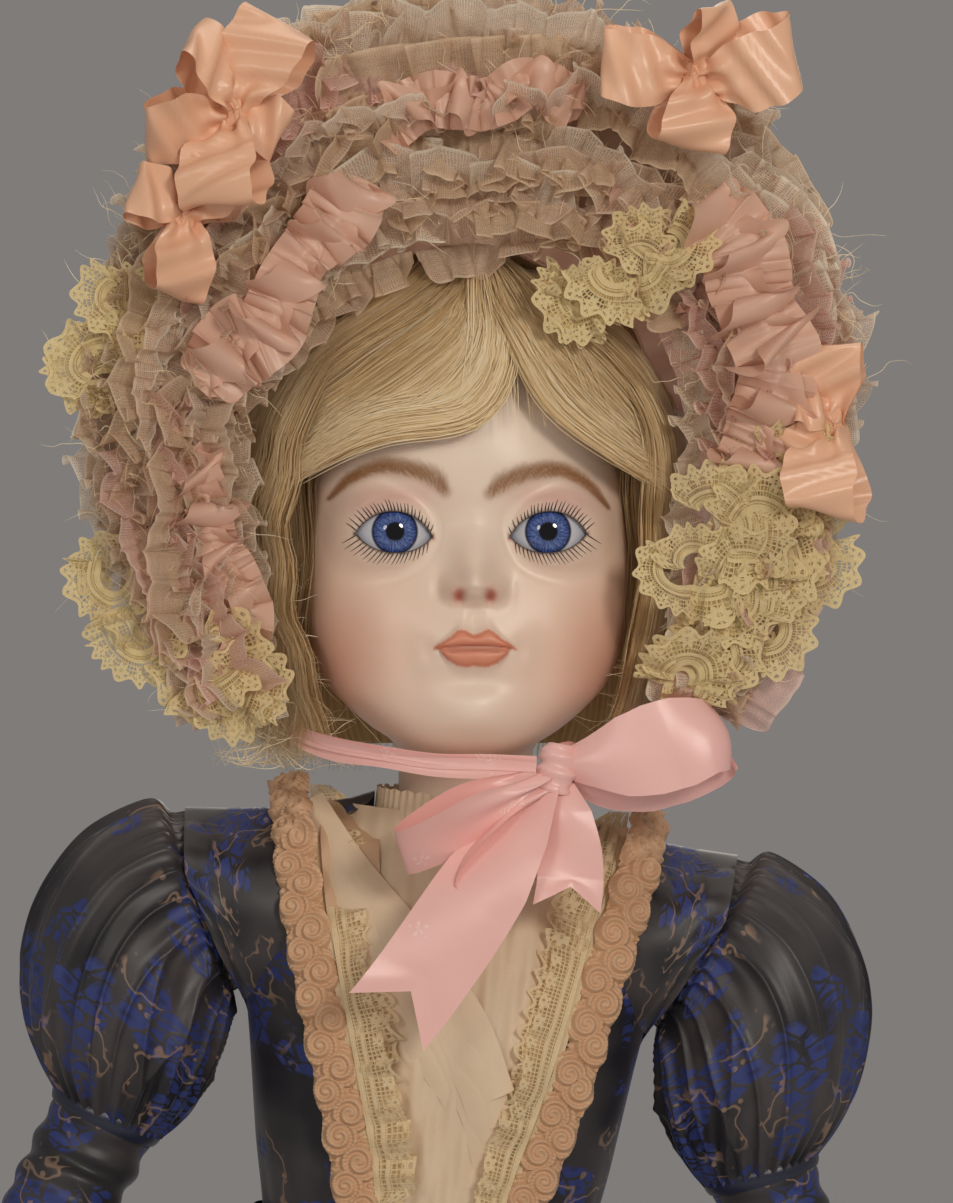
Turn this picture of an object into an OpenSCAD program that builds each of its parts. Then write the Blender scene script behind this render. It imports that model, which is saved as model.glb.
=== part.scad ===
// Jointed bébé doll: porcelain socket head on a strung wood-and-composition body, in a bonnet and a silk dress.
// The doll stands on z = 0 and faces -Y. Its own left side is +X. Everything is in millimetres.

/* [Head] */
// Outer radius of the round neck end that sits in the torso's cup
neck_ball_r = 20.5; // [18:0.5:20.5]
// Wall of the porcelain head
porcelain_wall = 4; // [3:0.5:5]
// Radius of a blown glass eye
eye_r = 14; // [11:0.5:14]
// Distance between the middles of the eyes
eye_spacing = 42.4; // [38:0.2:44]
// Sideways lean of the head on its neck, in degrees
head_lean = 5; // [0:1:6]
// Turn of the head towards its left, in degrees
head_yaw = 2.5; // [0:0.5:5]

/* [Body] */
// Running gap between a ball and its socket
joint_gap = 0.4; // [0.3:0.1:0.6]
// Radius of the shoulder ball
shoulder_r = 15; // [13:0.5:15]
// Radius of the elbow ball
elbow_r = 11; // [10:0.5:11]
// Radius of the rounded top of the thigh
hip_r = 19; // [18:0.5:19]
// Radius of the knee ball
knee_r = 14; // [13:0.5:14]
// How far an arm stands out from the side at rest, in degrees
arm_lift = 22; // [20:1:26]
// How far the elbow is bent at rest, in degrees
elbow_bend = 18; // [10:1:22]

/* [Clothes] */
// Radius of the skirt at its hem
skirt_r = 141; // [136:1:146]
// Height of the skirt's hem above the floor
hem_z = 78; // [70:1:86]
// Outer radius of the bonnet's brim
brim_r = 102; // [96:1:106]
// Width of the silk ribbon of the bow
ribbon_w = 25; // [20:1:28]
// Thickness of a shoe's sole
sole_h = 3; // [2:0.5:4]

/* [Hidden] */

sides = 28;          // points round a lofted form
small_sides = 20;    // points round a slim lofted form
ball_fn = 48;        // smoothness of an exact ball or bore
blob_fn = 16;        // smoothness of a ball inside a hull

porcelain = [0.93, 0.82, 0.74];
composition = [0.88, 0.72, 0.6];
beech = [0.72, 0.55, 0.36];
cork = [0.66, 0.48, 0.3];
iron = [0.45, 0.44, 0.43];
elastic = [0.85, 0.82, 0.75];
blue_glass = [0.2, 0.3, 0.65];
plaster = [0.9, 0.89, 0.86];
blonde = [0.72, 0.6, 0.4];
navy = [0.1, 0.12, 0.22];
cream_silk = [0.9, 0.78, 0.62];
cream_lace = [0.9, 0.82, 0.62];
tan_ribbon = [0.85, 0.66, 0.5];
pink_silk = [0.93, 0.65, 0.62];
pale_tulle = [0.82, 0.7, 0.6];
peach_satin = [0.97, 0.72, 0.55];
white_cotton = [0.94, 0.93, 0.9];
black_leather = [0.12, 0.09, 0.08];

neck = [0, 5, 484];          // middle of the neck ball, where the head turns and nods
shoulder = [67, 4, 447];     // middle of the left shoulder ball
upper_arm_l = 82;            // shoulder middle to elbow middle
forearm_l = 66;              // elbow middle to wrist
hip = [30, 4, 280];          // middle of the rounded top of the left thigh
knee_z = 150;
leg_top = hip[2];
ankle_z = 34;
waist_z = 352;
neck_rim_z = 474;            // top of the torso

// Torso: height, middle in Y, half width, half depth
torso = [
    [262, 5, 32, 27], [272, 5, 44, 34], [290, 5, 50, 40], [320, 4, 47, 38], [352, 2, 41, 33], [385, 2, 46, 35],
    [415, 2, 50.5, 38], [436, 3, 54.5, 36], [450, 4, 54.5, 32], [460, 5, 45, 28], [468, 5, 34, 25], [474, 5, 26, 22.5]
];
torso_hollow = [
    [308, 4, 36, 30], [320, 4, 41, 32], [352, 2, 35, 27], [385, 2, 40, 29], [415, 2, 44, 31], [432, 3, 38, 28],
    [446, 4, 28, 22], [455, 5, 18, 16]
];

// Head: height, middle in Y, half width, half depth
head = [
    [497, -17, 17, 22], [502, -13, 25, 27], [510, -8, 32, 32], [520, -3, 37.5, 38], [532, 0, 41.5, 42],
    [545, 3, 43.5, 46], [560, 6, 44, 49], [580, 9, 45, 52], [600, 11, 42.5, 50], [613, 12, 36, 43]
];

// Skirt, petticoat and sash: height, middle in Y, half width, half depth
skirt_rows = [
    [hem_z, 0, skirt_r, skirt_r], [130, 0, 129, 129], [190, 0, 112, 112], [250, 0, 93, 92], [300, 1, 74, 71],
    [330, 1, 58, 53], [345, 2, 49.5, 42.5], [354, 2, 47.6, 39.8]
];
petticoat_rows = [
    [96, 0, 120, 120], [140, 0, 112, 112], [190, 0, 98, 98], [250, 0, 79, 78], [300, 1, 62, 59], [330, 1, 51, 45],
    [340, 2, 48.5, 41.5]
];
sash_rows = [[342, 2, 53, 46], [354, 2, 50, 42.2], [364, 2, 49.4, 41]];

thigh_rows = [[158, 15], [170, 16], [200, 17.6], [235, 18.4], [262, 18.4], [276, 17.6]];
shin_rows = [[30, 9.5], [40, 10], [60, 12], [90, 15], [115, 16], [142, 14.5]];

function oval(z, y, rx, ry, n) = [for (i = [0:n - 1]) let (a = 360 * i / n) [rx * cos(a), y + ry * sin(a), z]];
function column(table, k) = [for (row = table) [row[0], row[k]]];
function slice(table, z, grow, n = sides) =
    oval(z, lookup(z, column(table, 1)), lookup(z, column(table, 2)) + grow, lookup(z, column(table, 3)) + grow, n);
function slices(table, levels, grow, n = sides) = [for (z = levels) slice(table, z, grow, n)];
function levels(table) = [for (row = table) row[0]];
function round_rows(table, grow, y, n = small_sides) = [for (r = table) oval(r[0], y, r[1] + grow, r[1] + grow, n)];

// Two triangles for each square between ring j and ring j + 1, seen clockwise from outside
function skin(n, m, first, flip) = [
    for (j = [0:m - 2], i = [0:n - 1])
        let (a = first + j * n + i, b = first + j * n + (i + 1) % n, c = a + n, d = b + n)
        each flip ? [[a, d, c], [a, b, d]] : [[a, c, d], [a, d, b]]
];

// Closed solid through a stack of rings of n points each
module loft(rings) {
    n = len(rings[0]);
    m = len(rings);
    bottom = [for (i = [0:n - 1]) i];
    top = [for (i = [n - 1:-1:0]) (m - 1) * n + i];
    polyhedron(points = [for (r = rings) each r], faces = concat(skin(n, m, 0, false), [bottom, top]));
}

// Closed solid between an outer and an inner stack of rings, open at both ends
module tube(outer, inner) {
    n = len(outer[0]);
    m = len(outer);
    k = n * m;
    rims = [
        for (i = [0:n - 1])
            let (b = (i + 1) % n, t = (m - 1) * n)
            each [
                [i, b, k + b], [i, k + b, k + i],
                [t + i, k + t + b, t + b], [t + i, k + t + i, k + t + b]
            ]
    ];
    polyhedron(
        points = concat([for (r = outer) each r], [for (r = inner) each r]),
        faces = concat(skin(n, m, 0, false), skin(n, m, k, true), rims)
    );
}

// A ring of n points round p, in the plane across the direction d
function disc(p, d, r, n) =
    let (u = d / norm(d), side = abs(u[2]) > 0.9 ? [1, 0, 0] : [0, 0, 1])
    let (e1 = cross(u, side) / norm(cross(u, side)), e2 = cross(u, e1))
    [for (i = [0:n - 1]) let (a = 360 * i / n) p + r * (cos(a) * e1 + sin(a) * e2)];

// A round cord through the points of a path
module sweep(path, r, n = 8) {
    last = len(path) - 1;
    loft([
        for (i = [0:last])
            disc(path[i], path[min(i + 1, last)] - path[max(i - 1, 0)], r, n)
    ]);
}

// A flat band of a given width and thickness through the points of a path; the width runs up and down
module band(path, width, thick) {
    last = len(path) - 1;
    loft([
        for (i = [0:last])
            let (d = path[min(i + 1, last)] - path[max(i - 1, 0)], out = cross(d, [0, 0, 1]))
            let (o = out / norm(out) * thick / 2, w = [0, 0, width / 2])
            [path[i] - o - w, path[i] + o - w, path[i] + o + w, path[i] - o + w]
    ]);
}

module sphere_at(p, r) { translate(p) sphere(r = r, $fn = ball_fn); }
module bore_x(x0, x1, y, z, r) { translate([x0, y, z]) rotate([0, 90, 0]) cylinder(h = x1 - x0, r = r, $fn = ball_fn); }
module mirrored(side) { if (side < 0) mirror([1, 0, 0]) children(); else children(); }
module on_neck() {
    translate(neck) rotate([0, -head_lean, 0]) rotate([0, 0, head_yaw]) translate(-neck) children();
}

// ---- torso and what it carries ----

module torso_shell() {
    color(composition) difference() {
        loft(slices(torso, levels(torso), 0));
        loft(slices(torso_hollow, levels(torso_hollow), 0));
        sphere_at(neck, neck_ball_r + joint_gap);
        translate([neck[0], neck[1], neck_rim_z - 40]) cylinder(h = 50, r = 6, $fn = ball_fn);
        bore_x(-80, 80, shoulder[1], shoulder[2], 4.5);
        for (s = [-1, 1]) {
            sphere_at([s * shoulder[0], shoulder[1], shoulder[2]], shoulder_r + joint_gap);
            sphere_at([s * hip[0], hip[1], hip[2]], hip_r + joint_gap);
            translate([s * hip[0], hip[1], hip[2]]) cylinder(h = 50, r = 4.5, $fn = ball_fn);
            translate([s * 35 - 25, -50, 240]) cube([50, 110, 49]);
        }
    }
}

// The arm cord bows behind the neck hook on its way from shoulder to shoulder
module arm_elastic() {
    behind = neck[1] + 4.6;
    color(elastic) sweep([
        for (p = [[-47, 4], [-24, 4], [-16, 5], [-8, behind], [8, behind], [16, 5], [24, 4], [47, 4]])
            [p[0], p[1], shoulder[2]]
    ], 2);
}

// The leg cord runs up from each hip and through the ring of the neck hook
module leg_elastic() {
    ring_z = 436;
    color(elastic) sweep([
        [-30, 4, 302], [-29, 4, 325], [-22, 4, 370], [-12, 5, 412], [-8.5, 5, 430], [-5, 5, ring_z], [0, 5, ring_z + 0.6],
        [5, 5, ring_z], [8.5, 5, 430], [12, 5, 412], [22, 4, 370], [29, 4, 325], [30, 4, 302]
    ], 1.8);
}

chest_levels = [352, 370, 385, 400, 415, 428, 436, 444, 450, 456, 460, 464, 468, 472];

// The strip of a garment that lies between two V lines on the chest
module v_strip(inner_top, inner_low, outer_top, outer_low, side) {
    mirrored(side) rotate([90, 0, 0]) linear_extrude(height = 70)
        polygon([[inner_low, 356], [outer_low, 356], [outer_top, 480], [inner_top, 480]]);
}

module chest_layer(from, to) {
    tube(slices(torso, chest_levels, to), slices(torso, chest_levels, from));
}

module plastron() {
    color(cream_silk) intersection() {
        chest_layer(0.6, 1.8);
        rotate([90, 0, 0]) linear_extrude(height = 80)
            polygon([[-13, 356], [13, 356], [50, 480], [-50, 480]]);
    }
}

module neckband() {
    color(cream_silk) translate([neck[0], neck[1], neck_rim_z + 0.5]) difference() {
        cylinder(h = 9, r = 24.8, $fn = ball_fn);
        translate([0, 0, -1]) cylinder(h = 11, r = 23.4, $fn = ball_fn);
    }
}

module shoulder_cap(side) {
    x0 = 38;
    mirrored(side) intersection() {
        difference() {
            bore_x(x0, 79, shoulder[1], shoulder[2], 25);
            bore_x(x0 - 1, 80, shoulder[1], shoulder[2], 21.5);
        }
        translate([x0 - 2, -40, 463]) cube([30, 90, 20]);
    }
}

module bodice() {
    color(navy) {
        difference() {
            chest_layer(2.2, 4.2);
            rotate([90, 0, 0]) linear_extrude(height = 80)
                polygon([[-7, 345], [7, 345], [46, 480], [-46, 480]]);
            for (s = [-1, 1]) sphere_at([s * shoulder[0], shoulder[1], shoulder[2]], 21.5);
        }
        shoulder_cap(1);
        shoulder_cap(-1);
    }
}

module lace(side) {
    color(cream_lace) intersection() {
        chest_layer(2.4, 3.4);
        v_strip(26, 1, 44, 6, side);
    }
}

module ruching(side) {
    from_z = 364.5;
    to_z = 462.5;
    color(tan_ribbon) intersection() {
        chest_layer(4.6, 8);
        v_strip(39, 8, 52, 18, side);
        translate([-60, -80, from_z]) cube([120, 80, to_z - from_z]);
    }
}

module garment(rows, thick) {
    n = 32;
    tube([for (r = rows) oval(r[0], r[1], r[2], r[3], n)],
        [for (r = rows) oval(r[0], r[1], r[2] - thick, r[3] - thick, n)]);
}

module waist_sash() { color(navy) garment(sash_rows, 1.2); }
module skirt() { color(navy) garment(skirt_rows, 1.6); }
module petticoat() { color(white_cotton) garment(petticoat_rows, 1.2); }

module back_buttons() {
    color(iron) for (z = [372:14:456])
        translate([0, lookup(z, column(torso, 1)) + lookup(z, column(torso, 3)) + 5.4, z]) rotate([-90, 0, 0])
            cylinder(h = 2, r = 3, $fn = 24);
}

// One flat tail of the bow: its ends, its width and its slant
module bow_tail(from, to, width, slant) {
    hull() for (p = [from, to])
        translate(p) rotate([0, slant, 0]) cube([width, 1.4, 1.4], center = true);
}

module bow_tails() {
    color(pink_silk) on_neck() {
        bow_tail([15, -50, 476], [0, -51, 459], ribbon_w - 4, 33);
        bow_tail([0, -51, 459], [-23, -52, 425], ribbon_w, 33);
        bow_tail([24, -48.5, 483], [24, -49, 455], ribbon_w - 8, 4);
    }
}

// ---- neck stringing ----

module neck_hook() {
    color(iron) {
        translate([neck[0], neck[1], 441]) cylinder(h = 62, r = 1.5, $fn = 24);
        translate([neck[0], neck[1], 436]) rotate([0, 90, 0]) rotate_extrude($fn = ball_fn)
            translate([5, 0]) circle(r = 1.5, $fn = 24);
    }
}

module washer(z, h, r) {
    translate([neck[0], neck[1], z]) difference() {
        cylinder(h = h, r = r, $fn = ball_fn);
        translate([0, 0, -1]) cylinder(h = h + 2, r = 2, $fn = 24);
    }
}

module neck_button() { color(beech) washer(474, 5, 11.4); }
module neck_washer() { color(iron) washer(493.4, 1.2, 8); }

module neck_spring() {
    turns = 4;
    steps = 14;
    wire_r = 0.9;
    z0 = 480;
    pitch = 2.8;
    color(iron) sweep([
        for (i = [0:turns * steps])
            let (a = 360 * i / steps)
            neck + [5.5 * cos(a), 5.5 * sin(a), z0 - neck[2] + wire_r + pitch * i / steps]
    ], wire_r, 6);
}

// ---- head ----

eye_y = -27;
eye_z = 557;

function head_rings(grow) = slices(head, levels(head), grow);

module head_shell() {
    rim_z = head[len(head) - 1][0];
    color(porcelain) on_neck() difference() {
        union() {
            loft(head_rings(0));
            translate([neck[0], neck[1], neck[2]]) cylinder(h = 24, r = 18.5, $fn = ball_fn);
            sphere_at(neck, neck_ball_r);
        }
        loft([
            for (row = head)
                let (z = row[0] < 505 ? row[0] + porcelain_wall : row[0] < rim_z ? row[0] : rim_z + 1)
                oval(z, row[1], row[2] - porcelain_wall, row[3] - porcelain_wall, sides)
        ]);
        translate([neck[0], neck[1], neck[2]]) cylinder(h = 24, r = 14.5, $fn = ball_fn);
        sphere_at(neck, neck_ball_r - porcelain_wall);
        translate([neck[0], neck[1], neck[2] - 30]) cylinder(h = 30, r = 6.5, $fn = ball_fn);
        for (s = [-1, 1]) translate([s * eye_spacing / 2, eye_y, eye_z]) rotate([90, 0, 0])
            cylinder(h = 40, r = 8.5, $fn = ball_fn);
        for (s = [-1, 1]) sphere_at([s * eye_spacing / 2, eye_y, eye_z], eye_r + 0.2);
    }
}

// A hollow glass ball, open at the back
module eye(side) {
    back = 9;
    color(blue_glass) on_neck() translate([side * eye_spacing / 2, eye_y, eye_z]) rotate([90, 0, 0])
        rotate_extrude($fn = ball_fn) intersection() {
            difference() {
                circle(r = eye_r, $fn = ball_fn);
                circle(r = eye_r - 2, $fn = ball_fn);
            }
            translate([0, -back]) square([eye_r + 1, eye_r + back + 1]);
        }
}

module eye_plaster() {
    color(plaster) on_neck() for (s = [-1, 1]) difference() {
        translate([s * eye_spacing / 2, eye_y + 8, eye_z]) rotate([-90, 0, 0])
            cylinder(h = 9, r = 11.5, $fn = ball_fn);
        sphere_at([s * eye_spacing / 2, eye_y, eye_z], eye_r + 0.1);
    }
}

module cork_pate() {
    color(cork) on_neck() loft([
        for (t = [[610, 0], [613.8, 1], [621, -7], [626, -16], [629, -25]])
            oval(t[0], 12, 36 - porcelain_wall - 1.5 + t[1], 43 - porcelain_wall - 1.5 + t[1], sides)
    ]);
}

wig_outer = [[494, 12, 50, 38], [510, 12, 54, 44], [532, 12, 56, 48], [560, 13, 56, 52], [585, 14, 54, 54],
    [605, 14, 49, 51], [620, 14, 40, 43], [631, 14, 28, 31], [637, 14, 12, 14]];
wig_inner = [[493, 10, 38, 36], [510, 6, 39, 41], [532, 4, 44, 45], [560, 7, 46.5, 51], [585, 10, 47, 53.5],
    [605, 12, 43, 50], [616, 12.5, 38, 45], [624, 12.5, 31, 37], [630.5, 12.5, 16, 20]];

module wig() {
    face_w = 36;
    color(blonde) on_neck() difference() {
        loft([for (r = wig_outer) oval(r[0], r[1], r[2], r[3], sides)]);
        loft([for (r = wig_inner) oval(r[0], r[1], r[2], r[3], sides)]);
        translate([-face_w, -70, 480]) cube([2 * face_w, 70, 98]);
    }
}

// Half outlines of the bonnet's front, from the top (0) down to the end by the jaw (1): across, then height
front_t = [0, 0.12, 0.25, 0.4, 0.55, 0.7, 0.85, 1];
inner_x = [0, 24, 44, 57, 61, 61, 60, 58];
inner_z = [635, 630, 616, 594, 570, 548, 527, 508];
outer_x = [0, 34, 65, 91, brim_r + 4, brim_r + 2, 91, 68];
outer_z = [708, 703, 686, 656, 615, 575, 540, 507];
arc_steps = 44;

function outline(v, t) = lookup(t, [for (i = [0:len(front_t) - 1]) [front_t[i], v[i]]]);
function front_point(u, w, y) =
    let (t = abs(u), sx = u < 0 ? -1 : 1)
    [
        sx * (outline(inner_x, t) * (1 - w) + outline(outer_x, t) * w),
        y,
        outline(inner_z, t) * (1 - w) + outline(outer_z, t) * w
    ];

// A form that runs round the front from jaw to jaw; each corner of its section is a share of the width and a Y
module front_arc(section) {
    loft([
        for (i = [0:arc_steps])
            let (u = -1 + 2 * i / arc_steps)
            [for (c = section) front_point(u, c[0], c[1])]
    ]);
}

// Bonnet crown: height, middle in Y, half width, half depth
crown_rows = [
    [538, 14, 62, 60], [560, 15, 64.5, 64], [592, 16, 67, 67], [612, 16, 64, 64], [630, 16, 55.2, 55.2],
    [645, 16, 41, 41], [655, 16, 23, 23], [658.5, 16, 8, 8]
];

module bonnet_crown() {
    thick = 2;
    front_y = -12;
    color(peach_satin) on_neck() difference() {
        loft([for (r = crown_rows) oval(r[0], r[1], r[2], r[3], sides)]);
        loft([for (r = crown_rows) oval(r[0] - thick, r[1], r[2] - thick, r[3] - thick, sides)]);
        translate([-80, front_y - 100, 480]) cube([160, 100, 200]);
    }
}

module bonnet_brim() {
    color(pale_tulle) on_neck() front_arc([[0.27, -13], [0.9, -26], [0.9, -24], [0.27, -11]]);
}

// The gathered frill that fills the front of the brim
module bonnet_ruffle() {
    color(pale_tulle) on_neck()
        front_arc([[0, -25], [0.1, -36], [0.4, -46], [0.75, -46], [1, -40], [1, -29], [0.5, -20.5], [0.1, -15]]);
}

module bonnet_rosettes() {
    spots = [[-66, 651, 15], [62, 668, 15], [-82, 625, 11]];
    color(peach_satin) on_neck() for (s = spots)
        translate([s[0], -47, s[1]]) rotate([90, 0, 0]) cylinder(h = s[2] * 0.7, r1 = s[2], r2 = s[2] * 0.6, $fn = 32);
}

module chin_ribbon() {
    color(pink_silk) on_neck() {
        band([[-53, -8, 507], [-46, -22, 500], [-34, -34, 496.5], [-16, -43, 493.5], [2, -46.2, 492.5], [10, -46.4, 492.3]], 6.5, 1.2);
        band([[31, -45, 495], [40, -34, 498], [48, -20, 502], [54, -8, 507]], 6.5, 1.2);
    }
}

module bow_knot() { color(pink_silk) on_neck() sphere_at([22.5, -47, 493], 7); }

module bow_loops() {
    color(pink_silk) on_neck() {
        hull() {
            translate([32, -49, 496]) sphere(r = 3, $fn = blob_fn);
            translate([62, -51, 507]) sphere(r = 4, $fn = blob_fn);
            translate([60, -47, 491]) sphere(r = 4, $fn = blob_fn);
            translate([42, -50, 488]) sphere(r = 3, $fn = blob_fn);
        }
        hull() {
            translate([13, -51, 488]) sphere(r = 3, $fn = blob_fn);
            translate([-14, -54, 484]) sphere(r = 3.5, $fn = blob_fn);
            translate([-12, -54, 490]) sphere(r = 3.5, $fn = blob_fn);
        }
    }
}

// ---- arms: drawn hanging straight down from a shoulder at the origin, then set in place ----

module on_shoulder(side) { mirrored(side) translate(shoulder) rotate([0, -arm_lift, 0]) children(); }
module on_elbow(side) {
    on_shoulder(side) translate([0, 0, -upper_arm_l]) rotate([-elbow_bend, 0, 0]) children();
}

module shoulder_ball(side) {
    color(composition) on_shoulder(side) difference() {
        sphere(r = shoulder_r, $fn = ball_fn);
        rotate([0, arm_lift, 0]) bore_x(-30, 30, 0, 0, 3);
        translate([0, 0, -30]) cylinder(h = 30, r = 3, $fn = ball_fn);
    }
}

module upper_arm(side) {
    cut = elbow_r + joint_gap;
    color(composition) on_shoulder(side) difference() {
        loft(round_rows([[-upper_arm_l + 9.5, 9.6], [-62, 12], [-40, 13], [-20, 13], [-7, 12]], 0, 0));
        sphere(r = shoulder_r + joint_gap, $fn = ball_fn);
        translate([0, 0, -upper_arm_l]) sphere(r = cut, $fn = ball_fn);
        translate([0, 0, -upper_arm_l]) cylinder(h = upper_arm_l, r = 3, $fn = ball_fn);
    }
}

// Rings of the puffed sleeve: inner point, outer point (both across and height) and half depth
puff_rows = [
    [61.5, 426.5, 74, 466.8, 19], [59.6, 424, 80.5, 468, 21], [59.4, 421, 87, 474, 28], [59.6, 417, 103, 465, 32],
    [60.3, 412, 113, 451, 34], [61.6, 405, 118, 436, 34], [64, 398, 118.5, 423, 32], [67, 391, 116.5, 410, 28],
    [71.5, 385, 112, 400, 22], [77, 380, 106.4, 391.6, 15.7]
];

module sleeve_puff(side) {
    function puff(row, grow) =
        let (p = [row[0], shoulder[1], row[1]], q = [row[2], shoulder[1], row[3]], h = norm(q - p) / 2)
        let (mid = (p + q) / 2, u = (q - p) / 2 * (h + grow) / h)
        [for (i = [0:sides - 1]) let (a = 360 * i / sides) mid + cos(a) * u + [0, sin(a) * (row[4] + grow), 0]];
    color(navy) mirrored(side) tube([for (r = puff_rows) puff(r, 0)], [for (r = puff_rows) puff(r, -1.3)]);
}

module elbow_ball(side) {
    color(composition) on_elbow(side) difference() {
        sphere(r = elbow_r, $fn = ball_fn);
        translate([0, 0, -30]) cylinder(h = 60, r = 3, $fn = ball_fn);
    }
}

// Forearm and hand in one piece, as on a straight-wristed body
module forearm(side) {
    color(composition) on_elbow(side) {
        difference() {
            loft(round_rows([[-forearm_l, 7.2], [-50, 8.6], [-30, 10.6], [-17, 11.2], [-10, 9.6]], 0, 0));
            sphere(r = elbow_r + 0.05, $fn = ball_fn);
            translate([0, 0, -30]) cylinder(h = 30, r = 3, $fn = ball_fn);
        }
        hull() {
            translate([0, 0, -forearm_l + 1]) sphere(r = 6, $fn = blob_fn);
            translate([0, 5, -80]) sphere(r = 5, $fn = blob_fn);
            translate([0, -6, -80]) sphere(r = 5, $fn = blob_fn);
        }
        hull() {
            translate([-1, 5, -82]) sphere(r = 4.6, $fn = blob_fn);
            translate([-1, -6, -82]) sphere(r = 4.6, $fn = blob_fn);
            translate([-4, 1, -100]) sphere(r = 4, $fn = blob_fn);
            translate([-4, -4, -99]) sphere(r = 4, $fn = blob_fn);
        }
        hull() {
            translate([-1, -8, -76]) sphere(r = 4, $fn = blob_fn);
            translate([-4, -13, -88]) sphere(r = 3.2, $fn = blob_fn);
        }
    }
}

module sleeve_lower(side) {
    rows = [[-60, 12.2], [-40, 13.6], [-14, 14.6]];
    color(navy) on_elbow(side)
        tube(round_rows(rows, 0, 0), [for (r = rows) oval(r[0], 0, r[1] - 1.4, r[1] - 1.4, small_sides)]);
}

module cuff_lace(side) {
    rows = [[-69, 17.5], [-61, 12.8]];
    color(cream_lace) on_elbow(side)
        tube(round_rows(rows, 0, 0), [for (r = rows) oval(r[0], 0, r[1] - 1, r[1] - 1, small_sides)]);
}

// ---- legs ----

function leg_ring(z, r, n = small_sides) = [for (p = oval(z, hip[1], r, r, n)) p + [hip[0], 0, 0]];

module knee_at() { translate([hip[0], hip[1], knee_z]) children(); }

module thigh(side) {
    color(composition) mirrored(side) difference() {
        union() {
            loft([for (r = thigh_rows) leg_ring(r[0], r[1])]);
            sphere_at(hip, hip_r);
        }
        knee_at() sphere(r = knee_r + joint_gap, $fn = ball_fn);
        translate([hip[0], hip[1], knee_z]) cylinder(h = 160, r = 3, $fn = ball_fn);
    }
}

module drawers(side) {
    rows = [[168, 27], [200, 25], [240, 22.5], [256, 21.5]];
    color(white_cotton) mirrored(side)
        tube([for (r = rows) leg_ring(r[0], r[1])], [for (r = rows) leg_ring(r[0], 20)]);
}

module knee_ball(side) {
    color(composition) mirrored(side) knee_at() difference() {
        sphere(r = knee_r, $fn = ball_fn);
        translate([0, 0, -30]) cylinder(h = 60, r = 3, $fn = ball_fn);
    }
}

// The foot, grown all round by a given amount
module foot_form(grow) {
    x = hip[0];
    hull() {
        translate([x, 10, 34]) sphere(r = 9 + grow, $fn = blob_fn);
        translate([x, 16, 14.5]) sphere(r = 10 + grow, $fn = blob_fn);
        translate([x, -8, 18]) sphere(r = 10 + grow, $fn = blob_fn);
        translate([x - 4, -28, 12.5]) sphere(r = 8 + grow, $fn = blob_fn);
        translate([x + 4, -28, 12.5]) sphere(r = 8 + grow, $fn = blob_fn);
    }
}

module lower_leg(side) {
    color(composition) mirrored(side) {
        difference() {
            loft([for (r = shin_rows) leg_ring(r[0], r[1])]);
            knee_at() sphere(r = knee_r + 0.05, $fn = ball_fn);
            knee_at() translate([0, 0, -40]) cylinder(h = 40, r = 3, $fn = ball_fn);
        }
        foot_form(0);
    }
}

module stocking(side) {
    rows = [[48, 12.2], [60, 13], [90, 16], [115, 17], [136, 15.8]];
    color(white_cotton) mirrored(side)
        tube([for (r = rows) leg_ring(r[0], r[1])], [for (r = rows) leg_ring(r[0], r[1] - 0.7)]);
}

module shoe(side) {
    color(black_leather) mirrored(side) difference() {
        foot_form(2);
        foot_form(0.2);
        translate([hip[0] - 30, -60, -20]) cube([60, 120, 20 + sole_h]);
        translate([hip[0] - 30, -60, 33]) cube([60, 120, 40]);
        hull() {
            translate([hip[0], 12, 26]) cylinder(h = 30, r = 9.5, $fn = 32);
            translate([hip[0], -8, 26]) cylinder(h = 30, r = 8, $fn = 32);
        }
    }
}

module sole(side) {
    color(black_leather) mirrored(side) linear_extrude(height = sole_h) hull() {
        translate([hip[0], 17]) circle(r = 11.5, $fn = 32);
        translate([hip[0] - 3.5, -27]) circle(r = 11, $fn = 32);
        translate([hip[0] + 3.5, -27]) circle(r = 11, $fn = 32);
    }
}

torso_shell();
arm_elastic();
leg_elastic();
plastron();
neckband();
bodice();
lace(1);  // lace_left
lace(-1);  // lace_right
ruching(1);  // ruching_left
ruching(-1);  // ruching_right
waist_sash();
back_buttons();
skirt();
petticoat();
bow_tails();
neck_hook();
neck_button();
neck_spring();
neck_washer();
head_shell();
eye(1);  // eye_left
eye(-1);  // eye_right
eye_plaster();
cork_pate();
wig();
bonnet_crown();
bonnet_brim();
bonnet_ruffle();
bonnet_rosettes();
chin_ribbon();
bow_knot();
bow_loops();
shoulder_ball(1);  // shoulder_ball_left
upper_arm(1);  // upper_arm_left
sleeve_puff(1);  // sleeve_puff_left
elbow_ball(1);  // elbow_ball_left
forearm(1);  // forearm_left
sleeve_lower(1);  // sleeve_lower_left
cuff_lace(1);  // cuff_lace_left
shoulder_ball(-1);  // shoulder_ball_right
upper_arm(-1);  // upper_arm_right
sleeve_puff(-1);  // sleeve_puff_right
elbow_ball(-1);  // elbow_ball_right
forearm(-1);  // forearm_right
sleeve_lower(-1);  // sleeve_lower_right
cuff_lace(-1);  // cuff_lace_right
thigh(1);  // thigh_left
drawers(1);  // drawers_left
knee_ball(1);  // knee_ball_left
lower_leg(1);  // lower_leg_left
stocking(1);  // stocking_left
shoe(1);  // shoe_left
sole(1);  // sole_left
thigh(-1);  // thigh_right
drawers(-1);  // drawers_right
knee_ball(-1);  // knee_ball_right
lower_leg(-1);  // lower_leg_right
stocking(-1);  // stocking_right
shoe(-1);  // shoe_right
sole(-1);  // sole_right
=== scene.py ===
"""Looks of the porcelain doll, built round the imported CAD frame. Lengths are in millimetres here."""
import math

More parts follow.
